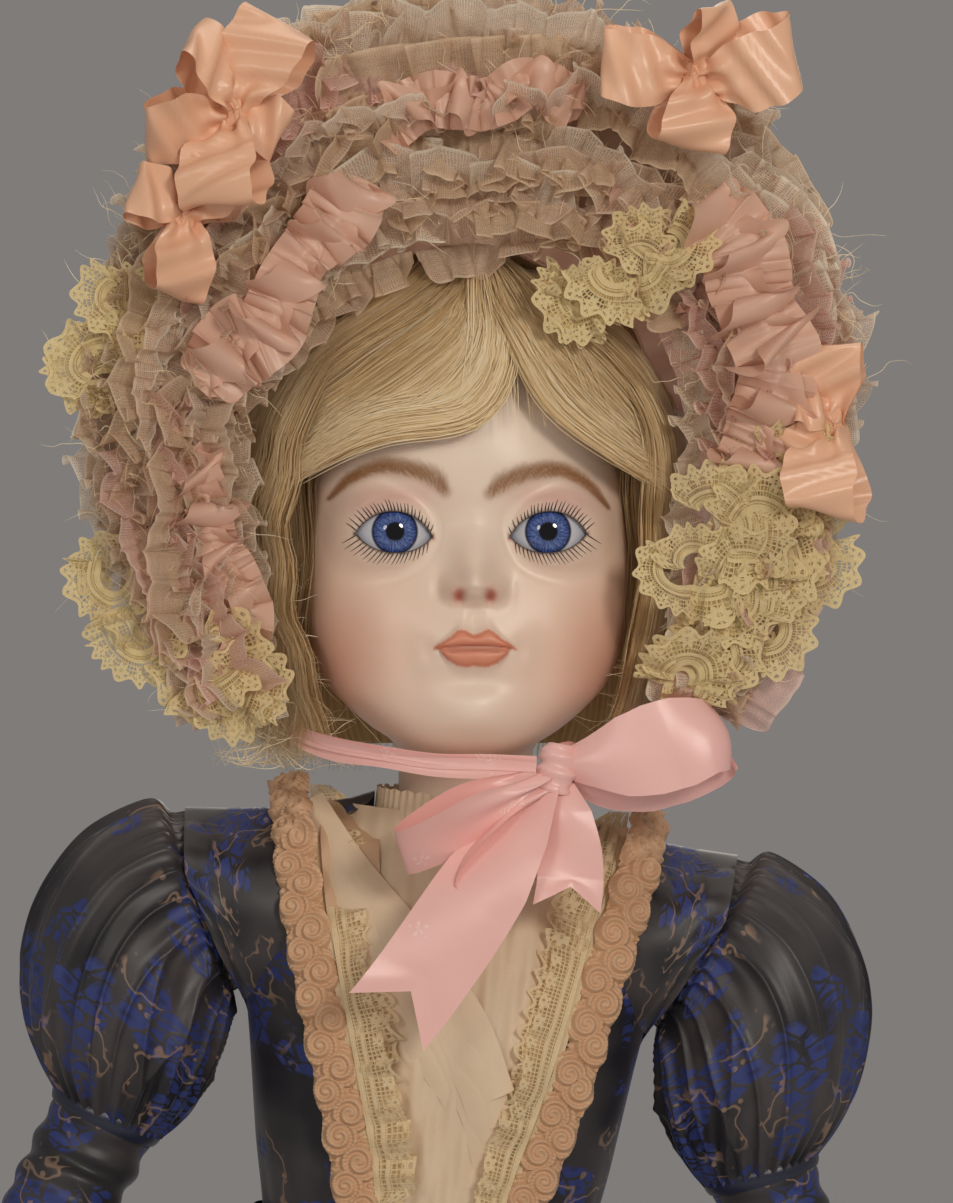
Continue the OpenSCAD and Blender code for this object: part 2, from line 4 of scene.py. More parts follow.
import bmesh
import bpy
import numpy as np
from mathutils import Matrix, Vector
from mathutils.bvhtree import BVHTree


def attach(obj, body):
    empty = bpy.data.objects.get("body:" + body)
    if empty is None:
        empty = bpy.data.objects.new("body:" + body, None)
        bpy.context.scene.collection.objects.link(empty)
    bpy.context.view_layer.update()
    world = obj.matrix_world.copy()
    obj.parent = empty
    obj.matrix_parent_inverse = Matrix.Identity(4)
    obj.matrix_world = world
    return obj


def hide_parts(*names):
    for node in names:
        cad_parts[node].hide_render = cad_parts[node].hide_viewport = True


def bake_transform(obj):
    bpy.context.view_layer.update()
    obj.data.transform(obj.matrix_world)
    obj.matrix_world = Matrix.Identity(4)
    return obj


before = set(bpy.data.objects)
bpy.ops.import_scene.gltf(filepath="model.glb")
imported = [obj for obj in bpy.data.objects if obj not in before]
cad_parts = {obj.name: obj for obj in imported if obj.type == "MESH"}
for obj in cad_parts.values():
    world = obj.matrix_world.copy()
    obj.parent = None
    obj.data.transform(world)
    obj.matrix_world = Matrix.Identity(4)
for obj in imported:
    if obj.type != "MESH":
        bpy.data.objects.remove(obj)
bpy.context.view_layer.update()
pi = math.pi
MM = 0.001    # a millimetre in metres

# The head leans and turns about the neck; head pieces are drawn upright and then set in place
NECK = Vector((0.0, 5.0, 484.0))
HEAD = (Matrix.Translation(NECK) @ Matrix.Rotation(math.radians(-5), 4, "Y")
        @ Matrix.Rotation(math.radians(2.5), 4, "Z") @ Matrix.Translation(-NECK))
HEAD_R = np.array(HEAD.to_3x3())
HEAD_T = np.array(HEAD.translation)
ON_HEAD = {"body": "head", "head": True}

# The middle of the shoulder and the eye, the half width of the eye opening, the line of the nose and the lips
SHOULDER_Y, SHOULDER_Z = 4.0, 447.0
EYE_X, EYE_Y, EYE_Z = 21.0, -26.8, 556.0
EYE_HALF = 10.35
NOSE_X = 0.7
LIPS_Z = 524.4


# ---------------------------------------------------------------- meshes

def lin(c):
    """sRGB 0-255 to linear 0-1."""
    c = np.asarray(c, float) / 255
    return np.where(c <= 0.04045, c / 12.92, ((c + 0.055) / 1.055) ** 2.4)


def to_world(v, head):
    v = np.asarray(v, float)
    return v @ HEAD_R.T + HEAD_T if head else v


def make(name, verts, faces, material, body=None, head=False, uv=None, col=None, attrs=None, smooth=True,
         replaces=(), slot=None):
    """A mesh piece from points in millimetres and equal-sized faces, riding on a CAD body."""
    v = to_world(verts, head) * MM
    f = np.asarray(faces, np.int32)
    n, k = f.shape
    me = bpy.data.meshes.new(name)
    me.vertices.add(len(v))
    me.vertices.foreach_set("co", v.astype(np.float32).ravel())
    me.loops.add(n * k)
    me.loops.foreach_set("vertex_index", f.ravel())
    me.polygons.add(n)
    me.polygons.foreach_set("loop_start", np.arange(0, n * k, k, dtype=np.int32))
    me.polygons.foreach_set("use_smooth", np.full(n, smooth))
    if uv is not None:
        layer = me.uv_layers.new(name="UVMap")
        layer.data.foreach_set("uv", np.asarray(uv, np.float32)[f.ravel()].ravel())
    if col is not None:
        c = np.ones((len(v), 4), np.float32)
        c[:, :3] = col
        a = me.color_attributes.new("Col", "FLOAT_COLOR", "POINT")
        a.data.foreach_set("color", c.ravel())
    for key, val in (attrs or {}).items():
        a = me.attributes.new(key, "FLOAT", "POINT")
        a.data.foreach_set("value", np.asarray(val, np.float32))
    me.update(calc_edges=True)
    me.validate()
    me.materials.append(material)
    return assign(link(name, me), body, replaces)


def link(name, me, material=None):
    """Puts a mesh in the scene as an object of its own."""
    if material:
        me.materials.append(material)
    o = bpy.data.objects.new(name, me)
    bpy.context.scene.collection.objects.link(o)
    return o


def assign(o, body=None, replaces=()):
    """Says which body a piece rides on and which CAD nodes it stands for."""
    if body:
        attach(o, body)
    for node in replaces:
        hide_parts(node)
    return o


def grid_faces(nu, nv, close_u=False, close_v=False, flip=False):
    i, j = mesh(np.arange(nu if close_u else nu - 1), np.arange(nv if close_v else nv - 1))
    i2, j2 = (i + 1) % nu, (j + 1) % nv
    q = np.stack([i * nv + j, i2 * nv + j, i2 * nv + j2, i * nv + j2], -1).reshape(-1, 4)
    return q[:, ::-1] if flip else q


def grid(name, P, material, close_u=False, close_v=False, flip=False, uv=None, **kw):
    """P is nu x nv x 3. uv defaults to lengths along each direction, in millimetres."""
    P = np.asarray(P, float)
    nu, nv = P.shape[:2]
    if uv is None:
        uv = arc_uv(P)
    if kw.get("attrs"):
        kw["attrs"] = {k: np.asarray(v).reshape(-1) for k, v in kw["attrs"].items()}
    return make(name, P.reshape(-1, 3), grid_faces(nu, nv, close_u, close_v, flip), material,
                uv=np.asarray(uv).reshape(-1, 2), **kw)


def arc_uv(P):
    du = np.linalg.norm(np.diff(P, axis=0), axis=2).mean(1)
    dv = np.linalg.norm(np.diff(P, axis=1), axis=2).mean(0)
    u = np.concatenate([[0], np.cumsum(du)])
    v = np.concatenate([[0], np.cumsum(dv)])
    return np.stack(mesh(u, v), -1)


def mesh(u, v):
    return np.meshgrid(u, v, indexing="ij")


def around(angle, rx, ry, z, cx=0.0, cy=0.0):
    """Points on level rings."""
    return np.stack([cx + rx * np.cos(angle), cy + ry * np.sin(angle), z + 0 * angle], -1)


def length_of(p):
    return np.linalg.norm(np.diff(p, axis=0), axis=1).sum()


def evenly(table, n):
    """n rows evenly interpolated through a short table of rows."""
    v = np.asarray(table, float)
    q, k = np.linspace(0, 1, n), np.linspace(0, 1, len(v))
    return np.stack([np.interp(q, k, v[:, i]) for i in range(v.shape[1])], 1)


def join(name, parts):
    """Several pieces with the same material become one."""
    for o in bpy.context.selected_objects:
        o.select_set(False)
    for o in parts:
        o.select_set(True)
    bpy.context.view_layer.objects.active = parts[0]
    bpy.ops.object.join()
    parts[0].name = name
    parts[0].data.name = name
    return parts[0]


def spline(points, n, closed=False):
    """n points evenly spaced along a Catmull-Rom curve."""
    p = np.asarray(points, float)
    if closed:
        p = np.vstack([p[-1], p, p[0], p[1]])
    else:
        p = np.vstack([2 * p[0] - p[1], p, 2 * p[-1] - p[-2]])
    t = np.linspace(0, 1, 24, endpoint=False)[:, None]
    out = []
    for a, b, c, d in zip(p[:-3], p[1:-2], p[2:-1], p[3:]):
        out.append(0.5 * (2 * b + (c - a) * t + (2 * a - 5 * b + 4 * c - d) * t ** 2
                          + (3 * b - a - 3 * c + d) * t ** 3))
    out = np.vstack(out + [p[-2][None]])
    s = np.concatenate([[0], np.cumsum(np.linalg.norm(np.diff(out, axis=0), axis=1))])
    q = np.linspace(0, s[-1], n)
    return np.stack([np.interp(q, s, out[:, k]) for k in range(out.shape[1])], 1)


def smooth_rows(rows, n):
    """Resamples a table of control rows into n smooth rows, evenly in its first column."""
    r = np.asarray(rows, float)
    q = np.linspace(0, len(r) - 1, n)
    p = np.vstack([2 * r[0] - r[1], r, 2 * r[-1] - r[-2]])
    i = np.minimum(q.astype(int), len(r) - 2)
    f = (q - i)[:, None]
    a, b, c, d = p[i], p[i + 1], p[i + 2], p[i + 3]
    return 0.5 * (2 * b + (c - a) * f + (2 * a - 5 * b + 4 * c - d) * f ** 2 + (3 * b - a - 3 * c + d)
                  * f ** 3)


def unit(v):
    return v / np.maximum(np.linalg.norm(v, axis=-1, keepdims=True), 1e-9)


def tangents(p):
    return unit(np.gradient(p, axis=0))


def square_to(t, o):
    """The part of o that is square to t, at unit length."""
    return unit(o - (o * t).sum(1, keepdims=True) * t)


def smoothstep(x, a, b):
    t = np.clip((x - a) / (b - a), 0, 1)
    return t * t * (3 - 2 * t)


def gauss(*terms):
    return np.exp(-sum((a / s) ** 2 for a, s in terms))


def wobble(x, seed, octaves=3):
    """Smooth random curve of x, roughly -1 to 1."""
    r = np.random.default_rng(seed)
    out = np.zeros_like(x, dtype=float)
    for k in range(octaves):
        f, ph, a = (1.0 + r.random() * 0.7) * 1.9 ** k, r.random() * 2 * pi, 0.62 ** k
        out += a * np.sin(x * f + ph)
    return out / 1.6


def waves(u, v, seed, count=9, ku=(1, 6), kv=(0.5, 3.0), power=0.0):
    """A smooth random field over u (an angle, so it closes on itself) and v (0 to 1), roughly -1 to 1."""
    r = np.random.default_rng(seed)
    out = 0
    for _ in range(count):
        a, b = r.integers(ku[0],
                          ku[1] + 1), (kv[0] + (kv[1] - kv[0]) * r.random()) * 2 * pi * (1
                                  if r.random() < 0.5 else -1)
        w = np.sin(a * u + b * v + r.random() * 2 * pi)
        out = out + (w if not power else np.sign(w) * np.abs(w) ** power)
    return out / math.sqrt(count) / 1.1


# ---------------------------------------------------------------- shader helpers

class Mat:
    """A small wrapper round a node tree, so that a material reads as a few lines."""

    def __init__(self, name, **inputs):
        self.m = bpy.data.materials.new(name)
        self.m.use_nodes = True
        self.t = self.m.node_tree
        self.b = self.t.nodes["Principled BSDF"]
        self.out = self.t.nodes["Material Output"]
        self.set(**inputs)

    def plug(self, s, v):
        """Links a socket or sets its value; three numbers make a colour, one makes a vector."""
        if isinstance(v, bpy.types.NodeSocket):
            self.t.links.new(v, s)
        elif s.type == "RGBA":
            s.default_value = (*list(v)[:3], 1)
        elif s.type == "VECTOR" and not hasattr(v, "__len__"):
            s.default_value = (v, v, v)
        else:
            s.default_value = v

    def set(self, **inputs):
        for k, v in inputs.items():
            self.plug(self.b.inputs[k.replace("_", " ")], v)

    def node(self, kind, out=0, props=None, **inputs):
        """inputs go by name, or by number as i0, i1 and so on."""
        n = self.t.nodes.new("ShaderNode" + kind)
        for k, v in (props or {}).items():
            setattr(n, k, v)
        for k, v in inputs.items():
            numbered = k[0] == "i" and k[1:].isdigit()
            self.plug(n.inputs[int(k[1:])] if numbered else n.inputs[k.replace("_", " ")], v)
        return n.outputs[out]

    def math(self, op, a, b=0.0, c=0.0):
        return self.node("Math", props={"operation": op}, i0=a, i1=b, i2=c)

    def add(self, a, b):
        return self.math("ADD", a, b)

    def sub(self, a, b):
        return self.math("SUBTRACT", a, b)

    def mul(self, a, b):
        return self.math("MULTIPLY", a, b)

    def madd(self, a, b, c):
        return self.math("MULTIPLY_ADD", a, b, c)

    def most(self, a, b):
        return self.math("MAXIMUM", a, b)

    def less(self, a, b):
        return self.math("LESS_THAN", a, b)

    def uv(self):
        return self.node("TexCoord", out="UV")

    def obj(self):
        return self.node("TexCoord", out="Object")

    def scaled(self, vec, s, rot=(0, 0, 0)):
        s = s if hasattr(s, "__len__") else (s, s, s)
        return self.node("Mapping", Vector=vec, Scale=s, Rotation=rot)

    def noise(self, vec, scale, detail=3.0, rough=0.5, distort=0.0, out=0):
        return self.node("TexNoise", out=out, Vector=vec, Scale=scale, Detail=detail, Roughness=rough,
                         Distortion=distort)

    def voronoi(self, vec, scale, out=0, feature="F1", rand=1.0):
        return self.node("TexVoronoi", out=out, props={"feature": feature}, Vector=vec, Scale=scale,
                         Randomness=rand)

    def ramp(self, fac, stops, mode="LINEAR", out=0):
        n = self.t.nodes.new("ShaderNodeValToRGB")
        n.color_ramp.interpolation = mode
        e = n.color_ramp.elements
        while len(e) < len(stops):
            e.new(0.5)
        for k, (p, c) in enumerate(stops):
            e[k].position = p
            c = (c, c, c) if not hasattr(c, "__len__") else c
            e[k].color = (*c[:3], 1)
        self.t.links.new(fac, n.inputs[0])
        return n.outputs[out]

    def mix(self, fac, a, b, mode="MIX"):
        return self.node("Mix", out=2, props={"data_type": "RGBA", "blend_type": mode}, i0=fac, i6=a, i7=b)

    def sep(self, vec):
        n = self.t.nodes.new("ShaderNodeSeparateXYZ")
        self.t.links.new(vec, n.inputs[0])
        return n.outputs

    def comb(self, x, y, z=0.0):
        return self.node("CombineXYZ", X=x, Y=y, Z=z)

    def attr(self, name, out="Fac"):
        return self.node("Attribute", out=out, props={"attribute_name": name})

    def bump(self, height, strength, dist):
        self.set(Normal=self.node("Bump", Height=height, Strength=strength, Distance=dist))

    def lit_through(self, share, colour):
        """Thin stuff: a share of the light passes it. Returns the mixed shader."""
        if not share:
            return self.b.outputs[0]
        glow = self.node("BsdfTranslucent", Color=colour)
        mixed = self.node("MixShader", i0=share, i1=self.b.outputs[0], i2=glow)
        self.t.links.new(mixed, self.out.inputs[0])
        return mixed

    def see_through(self, alpha, translucent=0.0, colour=(1, 1, 1)):
        """Cloth with holes: alpha is where there is thread; some light passes the threads."""
        thread = self.lit_through(translucent, colour)
        mixed = self.node("MixShader", i0=alpha, i1=self.node("BsdfTransparent"), i2=thread)
        self.t.links.new(mixed, self.out.inputs[0])


def weave(m, pitch_u, pitch_v):
    """Height of a plain weave with threads at the given spacing in millimetres, from UVs in millimetres."""
    u, v, _ = m.sep(m.uv())
    su = m.math("SINE", m.mul(u, 2 * pi / pitch_u))
    sv = m.math("SINE", m.mul(v, 2 * pi / pitch_v))
    return m.mul(su, sv)


def mat_bisque():
    m = Mat("bisque", Roughness=0.4, IOR=1.5, Subsurface_Weight=0.22, Subsurface_Scale=0.004,
            Coat_Weight=0.06,
            Coat_Roughness=0.35)
    m.set(Subsurface_Radius=(1.0, 0.45, 0.3))
    p = m.obj()
    fine = m.noise(p, 900, 3)
    soft = m.noise(p, 60, 4)
    c = m.mix(0.045, m.attr("Col", "Color"),
              m.ramp(soft, [(0.3, lin((214, 178, 158))), (0.7, lin((255, 246, 236)))]), "OVERLAY")
    m.set(Base_Color=c, Roughness=m.madd(soft, 0.12, 0.35))
    m.bump(m.add(fine, m.mul(soft, 2)), 0.06, 0.0003)
    return m.m


def mat_paint(name, colour):
    """Thin fired paint; the mesh's attribute a thins it."""
    m = Mat(name, Roughness=0.5)
    n = m.noise(m.obj(), 1500, 2)
    m.set(Base_Color=m.mix(n, lin(colour), lin(np.array(colour) * 0.72)))
    m.see_through(m.attr("a"))
    return m.m


def mat_eye():
    """r is the distance from the gaze line and th the angle about it, both stored on the mesh."""
    m = Mat("eye_glass", Roughness=0.06, IOR=1.52, Coat_Weight=0.55, Coat_Roughness=0.03,
            Specular_IOR_Level=0.35)
    r, cx, cz = m.attr("r"), m.attr("cx"), m.attr("cz")
    star = m.comb(m.mul(cx, 9.0), m.mul(cz, 9.0), m.mul(r, 0.35))
    threads = m.noise(star, 2.2, 4, 0.62)
    fine = m.noise(m.comb(m.mul(cx, 26.0), m.mul(cz, 26.0), m.mul(r, 0.6)), 2.0, 3, 0.6)
    tt = m.add(m.mul(threads, 0.6), m.mul(fine, 0.4))
    blue = m.ramp(tt, [(0.34, lin((34, 46, 88))), (0.45, lin((66, 87, 140))), (0.56, lin((126, 150, 194))),
                       (0.68, lin((206, 218, 240)))])
    depth = m.ramp(m.math("DIVIDE", r, 6.4), [(0.3, lin((120, 126, 176))), (0.62, lin((205, 212, 240))),
                                              (0.8, lin((150, 165, 220))), (0.93, lin((60, 70, 120)))])
    iris = m.mix(0.85, blue, depth, "MULTIPLY")
    # the white is painted darker towards its edge, where the lids overhang it: painted shade
    white = m.mix(m.ramp(m.math("DIVIDE", r, 14.0), [(0.45, 0.0), (0.9, 1.0)]), lin((206, 206, 214)),
                  lin((160, 160, 176)))
    rim = m.math("DIVIDE", r, 10.0)
    edge = m.noise(star, 3.0, 2)
    lim = m.ramp(m.add(rim, m.mul(m.sub(edge, 0.5), 0.02)), [(0.555, 0.0), (0.585, 1.0), (0.612, 1.0),
                                                             (0.65, 0.0)])
    c = m.mix(m.ramp(rim, [(0.59, 0.0), (0.63, 1.0)]), iris, white)
    c = m.mix(m.mul(lim, 0.85), c, lin((22, 26, 58)))
    pup = m.ramp(m.add(rim, m.mul(m.sub(edge, 0.5), 0.03)), [(0.235, 1.0), (0.27, 0.0)])
    c = m.mix(pup, c, lin((6, 6, 10)))
    m.set(Base_Color=c)
    return m.m


def mat_hair():
    m = Mat("mohair", Roughness=0.38, Specular_IOR_Level=0.55, Anisotropic=0.55, Sheen_Weight=0.25,
            Sheen_Roughness=0.4)
    tone = m.attr("tone")
    along = m.attr("along")
    c = m.ramp(tone, [(0.0, lin((146, 116, 74))), (0.35, lin((202, 172, 122))), (0.7, lin((238, 212, 164))),
                      (1.0, lin((255, 242, 212)))])
    # darker towards the roots: painted shade deep inside the hair
    c = m.mix(m.mul(m.ramp(along, [(0.0, 1.0), (0.35, 0.0)]), 0.22), c, lin((150, 122, 84)))
    m.set(Base_Color=c, Sheen_Tint=lin((250, 232, 196)))
    m.lit_through(0.18, c)
    return m.m


def mat_satin(name, colour, dark, motif=False, rough=0.3, translucent=0.12):
    """Warp-faced satin: long fine floats, a sheen that runs across them, and, if asked, woven sprigs."""
    m = Mat(name, Roughness=rough, Sheen_Weight=0.35, Sheen_Roughness=0.3, Specular_IOR_Level=0.6,
            Anisotropic=0.7)
    uv = m.uv()
    fine = m.noise(m.scaled(uv, (1.2, 14, 1)), 1.0, 3)
    cloud = m.noise(m.scaled(uv, 0.06), 1.0, 2)
    c = m.mix(m.madd(fine, 0.55, m.mul(cloud, 0.4)), lin(dark), lin(colour))
    h = m.add(fine, m.mul(weave(m, 0.35, 0.5), 0.3))
    if motif:
        q = m.scaled(uv, 1 / 26)
        d = m.voronoi(q, 1.0, out="Distance", rand=0.25)
        ctr = m.voronoi(q, 1.0, out="Position", rand=0.25)
        rel = m.node("VectorMath", props={"operation": "SUBTRACT"}, i0=q, i1=ctr)
        x, y, _ = m.sep(rel)
        ang = m.math("ARCTAN2", y, x)
        petal = m.madd(m.math("COSINE", m.mul(ang, 5.0)), 0.03, 0.13)
        spiral = m.math("PINGPONG", m.madd(d, 22.0, m.mul(ang, 0.32)), 0.5)
        mark = m.mul(m.less(d, petal), m.ramp(spiral, [(0.16, 1.0), (0.34, 0.0)]))
        c = m.mix(m.mul(mark, 0.35), c, lin(np.minimum(np.array(colour) * 1.06 + 8, 255)))
        m.set(Roughness=m.madd(mark, 0.3, rough))
        h = m.madd(mark, 1.5, h)
    m.set(Base_Color=c, Sheen_Tint=lin(np.minimum(np.array(colour) * 1.1, 255)))
    m.bump(h, 0.12, 0.0002)
    m.lit_through(translucent, c)
    return m.m


def mat_tulle(name, colour, dark, solid=0.62, dots=False, pitch=0.55):
    """Sheer silk net: fine mesh, denser where it is creased, and dark tufted dots where asked."""
    m = Mat(name, Roughness=0.6, Sheen_Weight=0.45, Sheen_Roughness=0.45)
    uv = m.uv()
    cell = m.voronoi(m.scaled(uv, 1 / pitch), 1.0, out="Distance", feature="DISTANCE_TO_EDGE", rand=0.4)
    thread = m.ramp(cell, [(0.10, 1.0), (0.26, 0.0)])
    crease = m.noise(m.scaled(uv, (0.11, 0.9, 1)), 1.0, 4)
    cloud = m.noise(m.scaled(uv, 0.035), 1.0, 2)
    # the colour darkens where the crease noise is low, in the valleys of its bump: painted shade in the
    # creases
    c = m.mix(m.madd(crease, 0.7, m.mul(cloud, 0.3)), lin(dark), lin(colour))
    alpha = m.madd(thread, 1.0 - solid, m.madd(crease, 0.2, solid - 0.1))
    if dots:
        d = m.voronoi(m.scaled(uv, 1 / 11), 1.0, out="Distance", rand=0.5)
        spot = m.ramp(d, [(0.075, 1.0), (0.1, 0.0)])
        c = m.mix(spot, c, lin((70, 58, 62)))
        alpha = m.most(alpha, spot)
    m.set(Base_Color=c, Sheen_Tint=lin(colour))
    rim = m.ramp(m.attr("edge"), [(0.90, 0.0), (0.965, 1.0)])
    alpha = m.most(alpha, m.mul(rim, 0.9))
    m.set(Base_Color=m.mix(m.mul(rim, 0.6), c, lin(np.minimum(np.array(colour) + 14, 255))))
    m.bump(m.add(m.mul(crease, 2.0), m.mul(thread, 0.3)), 0.3, 0.0004)
    m.see_through(alpha, 0.35, lin(colour))
    return m.m


def mat_lace(name, colour, dark, width=14.0):
    """Bobbin lace: v runs from the footing (0) to the scalloped edge (width mm)."""
    m = Mat(name, Roughness=0.8, Sheen_Weight=0.3)
    uv = m.uv()
    u, v, _ = m.sep(uv)
    net = m.voronoi(m.scaled(uv, 1 / 1.3), 1.0, out="Distance", feature="DISTANCE_TO_EDGE", rand=0.15)
    thread = m.ramp(net, [(0.13, 1.0), (0.2, 0.0)])
    # a flower in each scallop, 7 mm apart
    uu = m.sub(m.math("MODULO", m.add(m.mul(u, 1 / 7.0), 50.0), 1.0), 0.5)
    vv = m.mul(m.sub(v, width * 0.66), 1 / 7.0)
    rr = m.math("SQRT", m.add(m.mul(uu, uu), m.mul(vv, vv)))
    aa = m.math("ARCTAN2", vv, uu)
    petal = m.madd(m.math("COSINE", m.mul(aa, 6.0)), 0.09, 0.30)
    flower = m.mul(m.less(rr, petal), m.math("GREATER_THAN", rr, 0.08))
    scal = m.madd(m.math("COSINE", m.mul(uu, 2 * pi)), 1.1, width - 1.3)
    keep = m.less(v, scal)
    rim = m.less(m.math("ABSOLUTE", m.sub(v, m.sub(scal, 0.5))), 0.55)
    foot = m.less(v, 1.6)
    bars = m.less(m.math("ABSOLUTE", m.sub(v, width * 0.28)), 0.45)
    solid = m.most(m.most(flower, rim), m.most(foot, bars))
    alpha = m.mul(keep, m.most(solid, m.madd(thread, 0.85, 0.15)))
    c = m.mix(m.noise(m.scaled(uv, 0.3), 1.0, 3), lin(dark), lin(colour))
    c = m.mix(m.mul(solid, 0.5), c, lin(np.minimum(np.array(colour) + 10, 255)))
    m.set(Base_Color=c)
    m.bump(m.madd(solid, 1.5, thread), 0.5, 0.0004)
    m.see_through(alpha, 0.25, lin(colour))
    return m.m


def mat_brocade():
    """Navy silk with a slate sheen, royal blue flower sprays and tan twigs."""
    m = Mat("brocade", Roughness=0.45, Sheen_Weight=0.36, Sheen_Roughness=0.32, Specular_IOR_Level=0.5)
    uv = m.uv()
    warp = m.noise(m.scaled(uv, 0.06), 1.0, 3, out=1)
    bent = m.node("VectorMath", props={"operation": "MULTIPLY_ADD"}, i0=warp, i1=(10, 10, 0), i2=uv)
    ground = m.ramp(m.noise(m.scaled(uv, 0.03), 1.0, 2),
                    [(0.38, lin((15, 14, 18))), (0.64, lin((70, 65, 64)))])
    ribs = m.noise(m.scaled(uv, (0.6, 8, 1)), 1.0, 2)
    # sprays of petals: pointed cells inside soft patches, each with a dark midrib
    patch = m.ramp(m.noise(m.scaled(uv, 0.038), 1.0, 1.6), [(0.51, 0.0), (0.53, 1.0)])
    stretched = m.scaled(bent, (1 / 4.2, 1 / 8.0, 1))
    cell = m.voronoi(stretched, 1.0, out="Distance", feature="DISTANCE_TO_EDGE")
    near = m.voronoi(stretched, 1.0, out="Distance")
    petals = m.mul(m.ramp(cell, [(0.05, 0.0), (0.09, 1.0)]), patch)
    blue = m.mix(m.ramp(near, [(0.08, 0.0), (0.34, 1.0)]), lin((22, 32, 76)), lin((36, 56, 128)))
    c = m.mix(m.mul(petals, 0.85), ground, blue)
    # twigs: thin winding lines with buds
    q = m.scaled(uv, 0.045, (0, 0, 0.6))
    vein = m.math("ABSOLUTE", m.sub(m.noise(q, 1.0, 2.4, 0.62), 0.5))
    line = m.ramp(vein, [(0.006, 1.0), (0.013, 0.0)])
    where = m.ramp(m.noise(m.scaled(uv, 0.03, (0, 0, 1.9)), 1.0, 1), [(0.50, 0.0), (0.54, 1.0)])
    bud = m.mul(m.ramp(m.voronoi(m.scaled(uv, 1 / 3.6), 1.0, out="Distance"), [(0.2, 1.0), (0.28, 0.0)]),
                 m.ramp(vein, [(0.035, 1.0), (0.05, 0.0)]))
    tan = m.mul(m.most(line, bud), where)
    c = m.mix(m.mul(tan, 0.62), c, lin((158, 128, 104)))
    c = m.mix(m.mul(ribs, 0.18), c, lin((100, 98, 106)))
    m.set(Base_Color=c, Sheen_Tint=lin((150, 152, 172)),
          Roughness=m.madd(petals, 0.16, m.madd(ribs, 0.2, 0.32)))
    m.bump(m.add(m.madd(petals, 1.0, tan), m.mul(ribs, 0.5)), 0.2, 0.0003)
    return m.m


def mat_cloth(name, colour, dark, pitch=0.4, rough=0.7, sheen=0.3, translucent=0.1):
    m = Mat(name, Roughness=rough, Sheen_Weight=sheen, Sheen_Roughness=0.4)
    uv = m.uv()
    cloud = m.noise(m.scaled(uv, 0.07), 1.0, 4)
    c = m.mix(m.madd(m.noise(m.scaled(uv, (0.4, 7, 1)), 1.0, 2), 0.5, m.mul(cloud, 0.5)), lin(dark),
              lin(colour))
    m.set(Base_Color=c, Sheen_Tint=lin(colour))
    m.bump(m.add(weave(m, pitch, pitch), m.mul(cloud, 3)), 0.15, 0.0002)
    m.lit_through(translucent, c)
    return m.m


def mat_solid(name, colour, dark, rough=0.5, scale=200.0, metallic=0.0, coat=0.0, stretch=(1, 1, 1),
              bump=0.1, spots=0.0):
    """Hard surfaces: wood, composition, leather, metal, cork and plaster, by their grain."""
    m = Mat(name, Metallic=metallic, Coat_Weight=coat, Coat_Roughness=0.15)
    p = m.scaled(m.obj(), stretch)
    n = m.noise(p, scale, 5, 0.6)
    wear = m.noise(m.obj(), scale * 0.12, 4)
    c = m.mix(m.ramp(n, [(0.3, 0.0), (0.7, 1.0)]), lin(dark), lin(colour))
    c = m.mix(m.ramp(wear, [(0.55, 0.0), (0.8, 0.35)]), c, lin(np.array(dark) * 0.8))
    if spots:
        v = m.voronoi(m.obj(), scale * 0.7, out="Distance")
        c = m.mix(m.ramp(v, [(0.1, spots), (0.3, 0.0)]), c, lin(np.array(dark) * 0.5))
    m.set(Base_Color=c, Roughness=m.madd(wear, 0.25, rough - 0.1))
    m.bump(m.add(n, m.mul(wear, 0.6)), bump, 0.0004)
    return m.m


